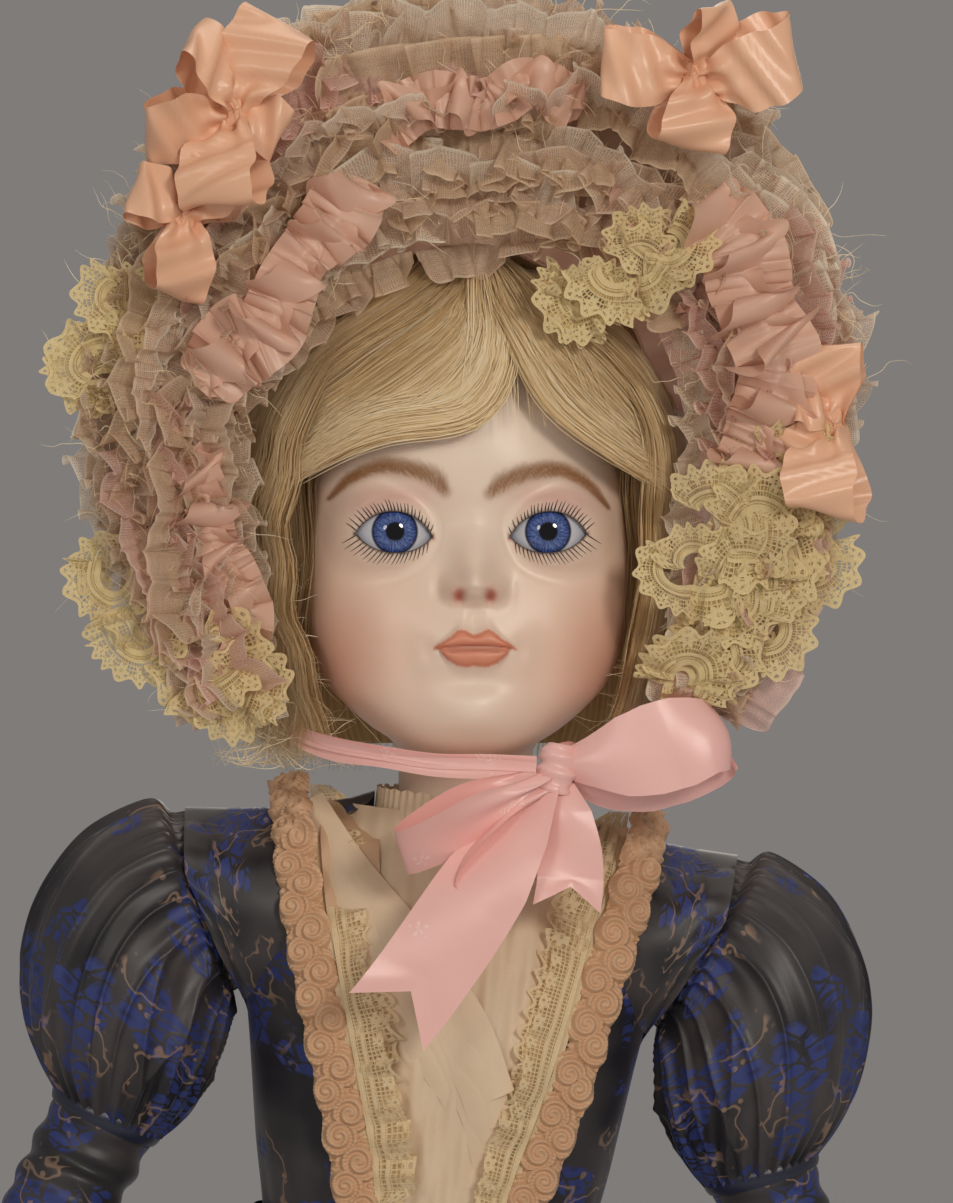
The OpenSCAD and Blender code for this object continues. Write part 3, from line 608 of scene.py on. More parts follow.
M = {
    "bisque": mat_bisque(),
    "eye": mat_eye(),
    "lash": mat_paint("lash_paint", (30, 24, 28)),
    "hair": mat_hair(),
    "pink": mat_satin("pink_satin", (255, 217, 211), (250, 185, 179), motif=True, rough=0.25),
    "peach": mat_satin("peach_satin", (250, 210, 178), (236, 176, 140), rough=0.27, translucent=0.1),
    "dusty": mat_satin("dusty_satin", (246, 212, 190), (224, 176, 152), rough=0.33, translucent=0.25),
    "apricot": mat_satin("apricot_ribbon", (238, 202, 166), (214, 166, 126), rough=0.5, translucent=0.2),
    "tulle": mat_tulle("tulle", (246, 226, 204), (204, 172, 146), 0.5),
    "tulle_pink": mat_tulle("tulle_pink", (250, 218, 206), (214, 170, 156), 0.46),
    "tulle_pale": mat_tulle("tulle_pale", (252, 240, 224), (218, 194, 170), 0.4),
    "dotted": mat_tulle("dotted_net", (240, 218, 190), (196, 168, 138), 0.6, dots=True),
    "lace": mat_lace("cream_lace", (242, 222, 182), (218, 190, 142)),
    "lace_yellow": mat_lace("yellow_lace", (240, 222, 172), (206, 178, 118), 11.0),
    "brocade": mat_brocade(),
    "navy": mat_satin("navy_satin", (52, 56, 78), (20, 22, 38), translucent=0.0),
    "cream": mat_cloth("cream_silk", (244, 224, 196), (222, 194, 160), 0.3, 0.5, 0.5),
    "tan": mat_cloth("tan_silk", (226, 192, 158), (200, 162, 126), 0.3, 0.45, 0.5),
    "cotton": mat_cloth("white_cotton", (240, 236, 226), (214, 208, 194), 0.5),
    "buckram": mat_cloth("buckram", (206, 180, 160), (168, 138, 118), 0.9),
    "composition": mat_solid("composition", (236, 200, 172), (214, 172, 142), 0.35, 120, coat=0.35,
                             bump=0.04),
    "wood": mat_solid("beech", (196, 152, 104), (150, 106, 64), 0.55, 60, stretch=(1, 1, 0.12), bump=0.2),
    "cork": mat_solid("cork", (186, 142, 96), (132, 92, 56), 0.85, 180, bump=0.5, spots=0.8),
    "iron": mat_solid("iron", (120, 116, 112), (70, 64, 60), 0.45, 300, metallic=0.9, bump=0.15),
    "elastic": mat_solid("elastic", (216, 206, 184), (176, 164, 140), 0.8, 700, bump=0.4),
    "plaster": mat_solid("plaster", (232, 228, 218), (204, 198, 184), 0.9, 160, bump=0.3),
    "kid": mat_solid("shoe_kid", (44, 34, 32), (20, 15, 15), 0.38, 420, coat=0.15, bump=0.25),
    "sole": mat_solid("sole_leather", (150, 104, 66), (104, 70, 42), 0.6, 260, bump=0.25),
    "button": mat_solid("button_glass", (40, 42, 56), (14, 14, 22), 0.15, 90, coat=0.8, bump=0.02),
}


# ---------------------------------------------------------------- camera first, then the porcelain head

def set_camera():
    cam = bpy.data.objects.new("Camera", bpy.data.cameras.new("Camera"))
    bpy.context.scene.collection.objects.link(cam)
    cam.data.lens = 144
    cam.data.sensor_width = 36
    cam.data.clip_end = 20
    target = Vector((3.3, -40.0, 537.2))
    at = target + Vector((0, -1300, 8))
    to = (target - at).normalized()
    up = Vector((0, 0, 1))
    right = to.cross(up).normalized()
    up = right.cross(to)
    local = Matrix((right, up, -to)).transposed().to_4x4()
    local.translation = at
    lean = Matrix.Translation(NECK) @ Matrix.Rotation(math.radians(-5), 4, "Y") @ Matrix.Translation(-NECK)
    m = lean @ local
    m.translation = m.translation * MM
    cam.matrix_world = m
    bpy.context.scene.camera = cam


set_camera()

# Columns: front (y, z), side (half width, y, z), back (y, z), from the crown's rim down to the neck
HEAD_ROWS = [
    (-27, 609, 32, 12, 609, 51, 609), (-27.5, 613, 33, 12, 613, 52, 613),
    (-31, 613.5, 36, 12, 613.5, 55, 613),
    (-35, 604, 40, 11.5, 604, 59, 600), (-39, 592, 43.3, 9.5, 592, 61.5, 586),
    (-40.8, 580, 44.6, 7, 580, 61.5, 571),
    (-40.2, 569, 45.6, 5, 569, 59, 557), (-38.6, 558, 46.2, 3, 558, 55, 545),
    (-39.4, 548, 46.4, 1, 548, 50, 535),
    (-40.6, 538, 46.1, -1, 539, 44, 526), (-41.4, 528, 44.7, -3.5, 530.5, 38, 518),
    (-41.6, 518, 42.0, -6, 521.5, 32, 511),
    (-41.2, 509, 38, -7.5, 513.5, 28, 506), (-39.8, 502, 31.8, -7.5, 507, 26, 502),
    (-36.8, 497, 26.6, -4.5, 502.6, 25, 499),
    (-30.5, 494.2, 22, 0.5, 499.5, 24.3, 496.5), (-22, 493.4, 19.4, 4, 496.5, 23.8, 494),
    (-15.5, 491.2, 18.6, 5, 492, 23.6, 491),
    (-13.6, 486, 18.5, 5, 486, 23.5, 486), (-13.5, 478, 18.6, 5, 478, 23.6, 478),
    (-8, 470, 13, 5, 470, 18, 470)]


def lid_edges(ax):
    """Heights of the upper and lower lid edge at a distance from the nose; equal outside the corners."""
    s = np.clip((ax - EYE_X) / EYE_HALF, -1, 1)
    corner = 555.2 + 0.25 * s
    top = corner + 6.25 * (1 - np.abs(s) ** 2.1) ** 0.86
    low = corner - 4.75 * (1 - np.abs(s + 0.02).clip(0, 1) ** 2.2) ** 0.9
    return top, low


def lid_gap(x, z):
    """Negative inside the eye opening: roughly a distance in millimetres."""
    ax = np.abs(x)
    top, low = lid_edges(ax)
    d = np.maximum(z - top, low - z)
    out = np.abs(ax - EYE_X) - EYE_HALF
    return np.where(out > 0, np.maximum(d, out), d)


def mouth(x):
    """Outline of the lips: top of the upper lip, the line between them, bottom of the lower lip."""
    a = np.abs(x)
    e = np.clip(1 - (a / 11.3) ** 2, 0, 1)
    top = LIPS_Z + 3.7 * e ** 0.75 + 1.9 * np.exp(-((a - 3.9) / 2.5) ** 2)
    top = np.where(a < 11.3, top, LIPS_Z)
    line = LIPS_Z + 1.0 * e
    f = np.clip(1 - (a / 9.5) ** 2.6, 0, 1)
    low = np.where(a < 9.5, 524.2 - 4.9 * f ** 0.85 + 0.5 * np.exp(-(a / 1.8) ** 2), 524.2)
    return top, line, low


def face_relief(x, z):
    """How far the face stands out beyond the plain head, in millimetres."""
    nx = x - NOSE_X
    a, na = np.abs(x), np.abs(nx)
    d = np.zeros_like(x)
    # brow, cheeks and the round muzzle
    d += 1.0 * gauss((a - 17, 13), (z - 573, 7))
    d += 2.3 * gauss((a - 25, 13), (z - 530, 14))
    d += 2.2 * gauss((nx, 15), (z - 526, 11))
    d -= 2.0 * gauss((a - 19.5, 10), (z - 556.5, 9.5))
    d += 4.4 * gauss((a - 34, 9.5), (z - 556, 15)) + 2.6 * gauss((a - 40, 6), (z - 550, 20))
    d -= 1.2 * gauss((na - 17.5, 4.5), (z - 521, 9))
    # nose
    bridge = np.interp(z, [533, 535.5, 537.2, 539, 541.5, 544, 548, 553, 558, 563, 570, 578],
                       [0, 0.6, 3.4, 6.4, 8.3, 8.1, 5.7, 3.4, 1.7, 0.8, 0.3, 0])
    sig = np.interp(z, [536, 541, 546, 553, 562, 575], [5.2, 5.3, 5.6, 6.4, 7.0, 8.0])
    d += bridge * np.exp(-(na / sig) ** 2)
    d += 1.3 * gauss((nx, 3.6), (z - 542.5, 3.0))
    d += 3.3 * gauss((na - 5.9, 2.9), (z - 540.2, 2.9))
    d -= 0.9 * gauss((na - 9.8, 1.7), (z - 540.5, 3.2))
    d -= 2.4 * gauss((na - 4.0, 1.6), (z - 538.3, 1.7))
    # lips
    top, line, low = mouth(nx)
    inm = smoothstep(np.clip(1 - na / 11.6, 0, 1), 0.0, 0.35)
    up = np.clip((z - line) / np.maximum(top - line, 0.3), -1, 2)
    dn = np.clip((line - z) / np.maximum(line - low, 0.3), -1, 2)
    d += inm * 2.1 * np.where(up > 0, np.exp(-((up - 0.45) / 0.62) ** 2), 0.0)
    d += inm * 2.3 * np.where(dn > 0, np.exp(-((dn - 0.52) / 0.55) ** 2), 0.0)
    d -= inm * 1.1 * np.exp(-((z - line + 0.35) / 0.75) ** 2)
    d -= 0.7 * gauss((na - 12.6, 2.2), (z - 524, 3.2))
    d += 0.35 * np.exp(-((z - top - 0.25) / 0.6) ** 2) * inm
    d -= 0.55 * gauss((nx, 1.7), (z - 533.2, 3.2))
    d += 0.3 * gauss((na - 3.1, 1.5), (z - 532.8, 3.0))
    # chin
    d -= 1.7 * gauss((nx, 8.5), (z - 515.8, 3.2))
    d += 2.7 * gauss((nx, 9.5), (z - 507.5, 6.5))
    return d


BROWS = {-1: [(-7.2, 567.0), (-10.2, 570.2), (-15.6, 572.6), (-24.0, 573.6), (-32.3, 570.6), (-38.2, 565.2)],
         1: [(4.9, 566.4), (9.6, 569.6), (15.8, 571.9), (24.0, 572.6), (31.6, 569.2), (37.8, 562.8)]}


def skin_colour(x, z, front):
    nx = x - NOSE_X
    a, na = np.abs(x), np.abs(nx)
    c = np.tile(lin((234, 212, 194)), (len(x), 1))

    def blend_in(colour, w):
        nonlocal c
        w = np.clip(w, 0, 1)[:, None]
        c = c * (1 - w) + lin(colour) * w

    blend_in((240, 224, 208), 0.5 * gauss((x, 30), (z - 586, 20)))
    blend_in((236, 182, 158), 0.50 * gauss((a - 33, 20), (z - 524, 24)))
    blend_in((230, 156, 130), 0.50 * gauss((a - 39, 13), (z - 517, 18)))
    blend_in((236, 196, 174), 0.45 * gauss((a - 44, 9), (z - 556, 30)))
    # brows: a soft arc under overlapping feathered strokes, from the nose (0) to the temple (1)
    r = np.random.default_rng(9)
    patch = np.flatnonzero((z > 556) & (z < 586) & (front > 0.5) & (a < 46))
    q = np.stack([x[patch], z[patch]], 1)
    soft, hairs = np.zeros(len(patch)), np.zeros(len(patch))
    for side, arc in BROWS.items():
        near = np.flatnonzero(q[:, 0] * side > 0)
        c0 = spline(arc, 60)
        tan = tangents(c0)
        dist = np.sqrt(((q[near][:, None] - c0[None]) ** 2).sum(2))
        at = dist.argmin(1)
        thick = np.interp(at / 59, [0, 0.12, 0.5, 0.8, 1], [1.8, 2.9, 2.7, 1.9, 0.8])
        soft[near] = np.exp(-(dist.min(1) / thick) ** 3)
        for _ in range(430):
            u = r.random() ** 0.9 * 0.97
            i = int(u * 59)
            half = np.interp(u, [0, 0.12, 0.5, 0.8, 1], [1.6, 2.5, 2.3, 1.6, 0.6])
            v = r.random() * 2 - 1
            nrm = np.array([-tan[i][1], tan[i][0]]) * side
            away = unit(tan[i] + nrm * (np.interp(u, [0, 0.15, 0.5, 1], [0.95, 0.62, 0.3, 0.12]) - 0.12 * v))
            step = q[near] - (c0[i] + nrm * v * half * 0.85)
            along = np.clip(step @ away, 0, 2.4 + 1.2 * r.random())
            off = ((step - along[:, None] * away) ** 2).sum(1)
            hairs[near] = np.maximum(hairs[near], (0.55 + 0.45 * r.random()) * np.exp(-off / 0.045))
    brow = np.zeros(len(x))
    brow[patch] = 0.62 * soft + 0.38 * hairs * (0.4 + 0.6 * soft)
    blend_in((136, 92, 46), brow)
    blend_in((228, 162, 140), 0.5 * gauss((x, 24), (z - 494, 6.5)))
    # a lighter patch on the round of the chin: painted highlight
    blend_in((244, 226, 210), 0.5 * gauss((nx, 7), (z - 509, 5)))
    blend_in((216, 160, 152), 0.55 * gauss((a - 21.5, 11.5), (z - 565.5, 3.4)))
    blend_in((206, 150, 148), 0.35 * gauss((a - 29, 5), (z - 562.5, 3)))
    blend_in((196, 120, 100), 0.7 * gauss((na - 4.3, 1.9), (z - 539.0, 2.2)))
    blend_in((178, 88, 72), 0.9 * gauss((na - 4.3, 1.4), (z - 538.9, 1.8)))
    blend_in((222, 120, 98), 0.55 * gauss((a - 10.4, 0.7), (z - 554.2, 0.7)))
    # lips
    top, line, low = mouth(nx)
    wob = 0.12 * np.sin(nx * 2.3) + 0.1 * np.sin(nx * 5.1 + 1)
    inside = smoothstep(np.minimum(top + wob - z, z - low + wob), -0.25, 0.35) * (na < 11.6)
    blend_in((220, 140, 110), 0.92 * inside)
    edge = np.exp(-((z - top + 0.45) / 0.5) ** 2) * (na < 11.0)
    blend_in((196, 100, 72), 0.55 * edge)
    blend_in((196, 104, 76), 0.4 * np.exp(-((z - low - 0.5) / 0.55) ** 2) * (na < 9.5))
    gap = np.exp(-((z - line + 0.75) / 0.8) ** 2) * smoothstep(8.6 - na, 0, 2.5)
    blend_in((204, 154, 134), 0.75 * gap)
    blend_in((158, 84, 66), 0.8 * np.exp(-((z - line + 0.05) / 0.28) ** 2) * smoothstep(10.6 - na, 0, 1.5))
    blend_in((168, 92, 74), 0.55 * np.exp(-((z - line + 1.5) / 0.3) ** 2) * smoothstep(7.6 - na, 0, 1.5))
    # painted liner round the eye
    g = lid_gap(x, z)
    blend_in((120, 82, 70), 0.6 * np.exp(-np.clip(g - 0.05, 0, 9) ** 2 / 0.5) * front)
    blend_in((28, 20, 24), 0.98 * np.exp(-(np.clip(g, 0, 9) / 0.55) ** 3) * front)
    return c


def head_mesh():
    rows = smooth_rows(HEAD_ROWS, 430)
    # finer angles in front, where the features are
    t = np.linspace(-1, 1, 621)[:-1]
    ang = pi * (0.62 * t + 0.38 * t ** 5)
    c, s = np.cos(ang), np.sin(ang)
    front = c > 0
    yf, zf, w, ys, zs, yb, zb = (rows[:, k][:, None] for k in range(7))
    px = w * np.sign(s) * np.abs(s) ** 0.9
    fy = np.where(front, ys + (yf - ys) * np.abs(c) ** 0.92, ys + (yb - ys) * np.abs(c) ** 0.95)
    fz = np.where(front, zs + (zf - zs) * c ** 2, zs + (zb - zs) * c ** 2)
    P = np.stack([px, fy, fz], -1)
    mask = smoothstep(np.broadcast_to(c, px.shape), 0.12, 0.5)
    d = face_relief(P[..., 0], P[..., 2]) * mask
    P[..., 1] -= d
    # lids wrap round the eyeballs
    x, z = P[..., 0], P[..., 2]
    dx, dz = np.abs(x) - EYE_X, z - EYE_Z
    rho2 = dx ** 2 + dz ** 2
    # the lids follow the eyeball, then run out gently into the cheek, the brow and the side of the nose
    rho = np.sqrt(rho2)
    lid_r, hold = 15.3, 10.2
    lid = EYE_Y - np.sqrt(lid_r ** 2 - np.minimum(rho, hold) ** 2) + 0.62 * np.clip(rho - hold, 0, None)
    h = np.clip(0.5 + (P[..., 1] - lid) / 5.0, 0, 1)
    blended = P[..., 1] * (1 - h) + lid * h - 1.25 * h * (1 - h)
    near_eye = np.where(mask > 0.02, 1 - smoothstep(rho, 10.6, 19.5), 0) * smoothstep(mask, 0.02, 0.4)
    P[..., 1] = P[..., 1] * (1 - near_eye) + blended * near_eye
    nu, nv = P.shape[:2]
    V = P.reshape(-1, 3)
    g = lid_gap(V[:, 0], V[:, 2])
    g = np.where((mask.reshape(-1) > 0.5) & (V[:, 2] > 545) & (V[:, 2] < 568), g, 5.0)
    F = grid_faces(nu, nv, close_v=True)
    # snap the points beside the opening onto its edge, then drop what lies inside
    near = np.abs(g) < 0.34
    e = 0.05
    gx = (lid_gap(V[:, 0] + e, V[:, 2]) - lid_gap(V[:, 0] - e, V[:, 2])) / (2 * e)
    gz = (lid_gap(V[:, 0], V[:, 2] + e) - lid_gap(V[:, 0], V[:, 2] - e)) / (2 * e)
    n2 = np.maximum(gx ** 2 + gz ** 2, 0.3)
    V[near, 0] -= (g * gx / n2)[near]
    V[near, 2] -= (g * gz / n2)[near]
    g = np.where(near, 0.0, g)
    keep = ~((g[F] <= 0).all(1))
    col = skin_colour(V[:, 0], V[:, 2], (mask.reshape(-1) > 0.5).astype(float))
    F = F[keep]
    # the thickness of the porcelain at the lid: a rim turned in towards the eyeball
    edges = {}
    for f in F[(g[F] < 0.5).any(1)]:
        for k in range(4):
            a, b = int(f[k]), int(f[(k + 1) % 4])
            key = (min(a, b), max(a, b))
            edges[key] = None if key in edges else (a, b)
    rim = [ab for ab in edges.values() if ab and g[ab[0]] == 0 and g[ab[1]] == 0]
    ids = sorted({a for ab in rim for a in ab})
    back = {a: len(V) + k for k, a in enumerate(ids)}
    inner = V[ids].copy()
    ex = np.sign(inner[:, 0]) * EYE_X
    inner[:, 0] += (inner[:, 0] - ex) * 0.015
    inner[:, 1] += 2.2
    V = np.vstack([V, inner])
    col = np.vstack([col, np.tile(lin((30, 22, 26)), (len(ids), 1))])
    F = np.vstack([F, np.array([[b, a, back[a], back[b]] for a, b in rim])])
    used, inv = np.unique(F, return_inverse=True)
    return make("face_and_head", V[used], inv.reshape(F.shape), M["bisque"], "head", True, col=col[used],
                replaces=["head_shell"], slot="bisque")


def eyeball(name, side, node):
    """A blown glass eye: rings round the gaze line, with a low clear bulge over the iris."""
    th = np.linspace(0, 2 * pi, 97)[:-1]
    ph = np.concatenate([np.linspace(0, 0.5, 40), np.linspace(0.51, pi * 0.62, 34)])
    R = 14.0 + 0.75 * np.exp(-(ph / 0.36) ** 4)
    rr = (R * np.sin(ph))[:, None]
    X = rr * np.cos(th)
    Z = rr * np.sin(th)
    Y = -(R * np.cos(ph))[:, None] + 0 * X
    P = np.stack([X, Y, Z], -1)
    turn = Matrix.Rotation(math.radians(-1.2 * side), 3, "Z")
    W = P @ np.array(turn).T + np.array([side * EYE_X, EYE_Y, EYE_Z + 0.1])
    return grid(name, W, M["eye"], close_v=True, flip=True, **ON_HEAD, replaces=[node], slot="eye_glass",
                attrs={"r": np.broadcast_to(rr, X.shape), "cx": np.broadcast_to(np.cos(th), X.shape),
                       "cz": np.broadcast_to(np.sin(th), X.shape)})


class Skin:
    """Finds the surface of the head in front of a point, for paint strokes that lie on it."""

    def __init__(self, o):
        me = o.data
        inv = HEAD.inverted()
        v = [inv @ (p.co * 1000) for p in me.vertices]
        self.tree = BVHTree.FromPolygons(v, [p.vertices for p in me.polygons])

    def y(self, x, z):
        hit = self.tree.ray_cast(Vector((x, -90, z)), Vector((0, 1, 0)))
        return hit[0].y if hit[0] else None


def strokes(name, skin, lines, material, lift=0.12):
    """Tapered paint strokes. Each line is (points in X and Z, width, opacity)."""
    V, F, A = [], [], []
    for pts, width, alpha in lines:
        p = spline(pts, max(5, int(len(pts) * 3)))
        t = tangents(p)
        nrm = np.stack([-t[:, 1], t[:, 0]], 1)
        u = np.linspace(0, 1, len(p))
        w = width * np.minimum(1, 0.35 + 2.5 * u) * np.sqrt(np.clip(1 - u, 0, 1)) * 0.5 + 0.02
        first = len(V)
        ok = True
        for k in range(len(p)):
            for sgn in (-1, 1):
                q = p[k] + sgn * w[k] * nrm[k]
                y = skin.y(q[0], q[1])
                if y is None:
                    ok = False
                    y = -40
                V.append((q[0], y - lift, q[1]))
                A.append(alpha * (1 - 0.35 * u[k]))
        if not ok:
            del V[first:], A[first:]
            continue
        for k in range(len(p) - 1):
            a = first + 2 * k
            F.append((a, a + 1, a + 3, a + 2))
    return make(name, V, F, material, "head", True, attrs={"a": A}, slot="bisque")


def lashes(skin):
    r = np.random.default_rng(5)
    lines = []

    def lash(side, root, reach, bend, width):
        pts = [root + reach * q + bend * q * q for q in (0, 0.33, 0.66, 1)]
        lines.append(([(side * p[0], p[1]) for p in pts], width, 1.0))

    for side in (-1, 1):
        for k in range(24):
            s = -0.97 + 1.92 * (k + 0.3 * r.random()) / 23
            top, _ = lid_edges(np.array([EYE_X + EYE_HALF * s]))
            out = s * 0.55 + 0.12
            L = (2.3 + 1.5 * (0.5 + 0.5 * s)) * (0.85 + 0.3 * r.random())
            p0 = np.array([EYE_X + EYE_HALF * s, top[0] + 0.05])
            dirn = np.array([math.sin(out * 1.25), math.cos(out * 1.25)])
            bend = np.array([0.35 + 0.1 * s, 0.0])
            lash(side, p0, dirn * L, bend, 0.37)
        for k in range(20):
            s = -0.9 + 1.86 * (k + 0.3 * r.random()) / 19
            _, low = lid_edges(np.array([EYE_X + EYE_HALF * s]))
            L = (2.9 + 1.6 * (0.5 + 0.5 * s)) * (0.85 + 0.3 * r.random())
            p0 = np.array([EYE_X + EYE_HALF * s, low[0] - 0.05])
            a = 0.50 + 0.52 * s
            dirn = np.array([math.sin(a), -math.cos(a)])
            lash(side, p0, dirn * L, np.array([0.3, 0.0]), 0.31)
    strokes("painted_lashes", skin, lines, M["lash"])


head = head_mesh()
skin = Skin(head)
eyeball("glass_eye_left", 1, "eye_left")
eyeball("glass_eye_right", -1, "eye_right")
lashes(skin)


# ---------------------------------------------------------------- mohair wig

def ribbon_strands(name, strands, slot="mohair"):
    """Flat ribbons that taper at the tip. Each strand is (points, width, tone, outward vector)."""
    n = 22
    V, F, tone, along = [], [], [], []
    for pts, width, tn, out in strands:
        p = spline(pts, n) if len(pts) != n else np.asarray(pts)
        t = tangents(p)
        side = unit(np.cross(t, np.asarray(out, float)))
        u = np.linspace(0, 1, n)[:, None]
        w = width * 0.5 * np.minimum(1, 0.5 + 3 * u) * np.clip(1.15 - u ** 3, 0.12, 1)
        first = len(V)
        V.extend(np.stack([p - side * w, p + side * w], 1).reshape(-1, 3))
        k = np.arange(n - 1) * 2 + first
        F.append(np.stack([k, k + 1, k + 3, k + 2], 1))
        tone.extend(np.full(2 * n, tn))
        along.extend(np.repeat(u[:, 0], 2))
    return make(name, np.array(V), np.vstack(F), M["hair"], **ON_HEAD, slot=slot,
                attrs={"tone": np.array(tone), "along": np.array(along)})


def lock(guide, count, spread, depth, seed, tip=0.5, root=0.7, wave=0.0, waves=3.0, tone=0.55, width=0.42,
         fly=0.04, short=0.0, out=None):
    """Strands that follow one guide. spread is across the lock, depth is off the head."""
    r = np.random.default_rng(seed)
    g = spline(guide, 22)
    t = tangents(g)
    u = np.linspace(0, 1, 22)
    centre = np.array([0, 10, 560.0])
    o = unit(g - centre) if out is None else np.tile(unit(np.asarray(out, float)), (22, 1))
    o = square_to(t, o)
    s = np.cross(t, o)
    res = []
    prof = np.interp(u, [0, 0.25, 0.7, 1], [root, 1, 0.95, tip])
    clump_a = r.random(7) * 2 - 1
    for _ in range(count):
        k = r.integers(7)
        a = np.clip(0.72 * clump_a[k] + 0.42 * r.normal(), -1.25, 1.25)
        b = r.random()
        pull = u ** 1.5 * 0.35
        across = (a * (1 - pull) + clump_a[k] * pull) * spread * prof
        off = (b * depth + 0.2) * prof
        ph = r.normal() * 0.35 + clump_a[k] * 0.9
        wv = wave * np.sin(2 * pi * waves * u + ph) * smoothstep(u, 0.08, 0.4)
        wv2 = wave * 0.55 * np.cos(2 * pi * waves * u + ph) * smoothstep(u, 0.08, 0.4)
        p = g + s * (across + wv)[:, None] + o * (off + wv2)[:, None]
        if r.random() < fly:
            amp = (r.random() * 3.5 + 1) * u ** 1.6
            p = p + s * (amp * math.sin(r.random() * 6))[:, None] + o * (amp * 0.6)[:, None]
            tn = 0.75 + 0.2 * r.random()
        else:
            # strands lying further off the head are lighter and those nearer it darker: painted light and
            # shade; the rest of the tone differs at random
            tn = np.clip(tone + 0.16 * r.normal() + 0.16 * (b - 0.5) + 0.08 * clump_a[k], 0, 1)
        if short:
            m = 1 - short * r.random() ** 1.6
            q = u * m
            p = np.stack([np.interp(q, u, p[:, i]) for i in range(3)], 1)
        res.append((p, width * (0.7 + 0.6 * r.random()), tn, o[11]))
    return res


def wig():
    # the cap under the hair: closed round the head, open over the face
    rows = smooth_rows([(630.5, 12, 6, 8), (629.5, 12, 20, 24), (625, 12, 31, 36), (617, 12, 38.5, 45.5),
                        (606, 12, 43.2, 50.6), (594, 11.5, 46, 52.5),
                        (578, 11, 47.4, 52.5), (560, 11, 48.2, 50), (540, 11, 49, 46), (520, 12, 49.5, 42),
                        (504, 13, 48, 38), (496, 14, 45, 34)], 90)
    a = np.linspace(-pi, pi, 241)
    nu, nv = len(rows), len(a)
    z, cy, rx, ry = (rows[:, k][:, None] for k in range(4))
    groove = 0.5 * np.sin(a * 83) + 0.4 * np.sin(a * 141 + z * 0.05)
    x = (rx + 0.5 * groove) * np.sin(a)
    y = cy - (ry + 0.5 * groove) * np.cos(a)
    P = np.stack([x, y, z + 0 * x], -1)
    F = grid_faces(nu, nv)
    c = P.reshape(-1, 3)[F].mean(1)
    hole = (c[:, 1] < 6 + 0.02 * (c[:, 2] - 500)) & (c[:, 2] < 606) & (np.abs(c[:, 0]) < 46.5)
    F = F[~hole]
    used, inv = np.unique(F, return_inverse=True)
    V = P.reshape(-1, 3)[used]
    tone = 0.42 + 0.16 * np.sin(np.arctan2(V[:, 0], V[:, 1]) * 160)
    make("wig_cap", V, inv.reshape(F.shape)[:, ::-1], M["hair"], "head", True,
         attrs={"tone": tone, "along": tone * 0 + 0.6},
         replaces=["wig"], slot="mohair")

    st = []
    part = np.array([3.0, -16.0, 631.0])
    # fringe combed to its right and to its left from the parting, in thin overlapping layers
    def sweep(side, seed, low, high, tone, sag):
        """One side of the fringe: from the parting over the forehead and out to the temple."""
        res = []
        for k in range(26):
            f = (k / 25) ** 0.9
            root = part + np.array([side * (0.5 + 5.5 * f), 1.5 + 16 * f, 1.5 + 1.0 * f])
            guide = [root] + [np.array(p) * (1 - f) + np.array(q) * f for p, q in zip(low, high)]
            guide[1][2] += 1.5 * math.sin(k * 2.1)
            guide[2][2] += sag * math.sin(k * 1.7) - 0.6
            res += lock(guide, 165, 3.6 + 2.6 * f, 3.2, seed + k, tip=0.9, root=0.9, wave=0.55, waves=1.7,
                        tone=tone, short=0.25,
                        fly=0.2, width=0.28)
        return res

    st += sweep(-1, 100, [(8, -41, 606), (0, -44.5, 588), (-24, -43, 582), (-49, -27, 572)],
                [(-14, -28, 621), (-37, -25, 607), (-52, -15, 588), (-57, -8, 562)], 0.62, 0.9)
    st += sweep(1, 200, [(11, -41, 608), (20, -43.5, 590.5), (38, -39, 577), (56, -22, 567)],
                [(22, -28, 621), (42, -25, 606), (53, -15, 588), (58, -8, 562)], 0.60, 0.7)
    # a few short wisps that fall out of the parting onto the forehead
    for k in range(10):
        x0 = -9 + 4.4 * k
        end = 7 + 1.1 * x0
        st += lock([(3 + 0.2 * x0, -18, 631.5), (5 + 0.5 * x0, -35, 618),
                    (6 + 0.8 * x0, -42.8 + 0.004 * x0 * x0, 600),
                    (end, -45.3 + 0.006 * end * end, 582 - 0.8 * abs(k - 3))],
                   18, 2.6, 2.4, 160 + k, tip=0.6, root=0.5, wave=0.6, waves=1.2, tone=0.68, short=0.5,
                   width=0.22)
    # side locks: crimped on the doll's right, straighter and golden on its left
    for k in range(14):
        f = k / 13
        x0 = -45.5 - 13 * f
        top = np.array([-34 - 14 * f, -27 + 20 * f, 607 - 3 * f])
        st += lock([top, (x0 + 1, -29 + 20 * f, 586), (x0 - 4, -27 + 18 * f, 558),
                    (x0 - 1.5, -25 + 16 * f, 532), (x0 + 5 - 2 * f, -24 + 14 * f, 512),
                    (x0 + 8 - 9 * f, -22 + 14 * f, 493 + 3 * f)], 110, 4.6, 5.0, 300 + k, tip=1.25, wave=1.7,
                    waves=5.0 + f, tone=0.60, fly=0.18,
                   width=0.36, short=0.12)
    for k in range(12):
        f = k / 11
        x0 = 46.5 + 8.5 * f
        top = np.array([35 + 12 * f, -27 + 20 * f, 607 - 3 * f])
        st += lock([top, (x0 + 1, -29 + 20 * f, 585), (x0 + 2, -26 + 18 * f, 558),
                    (x0 - 0.5, -25 + 16 * f, 532), (x0 - 4.5 + 2 * f, -24 + 14 * f, 514),
                    (x0 - 10 + 6 * f, -22 + 14 * f, 499 + 1 * f)], 110, 4.2, 4.4, 400 + k, tip=0.9, wave=0.7,
                    waves=3.0, tone=0.64, fly=0.12,
                   width=0.36, short=0.12)
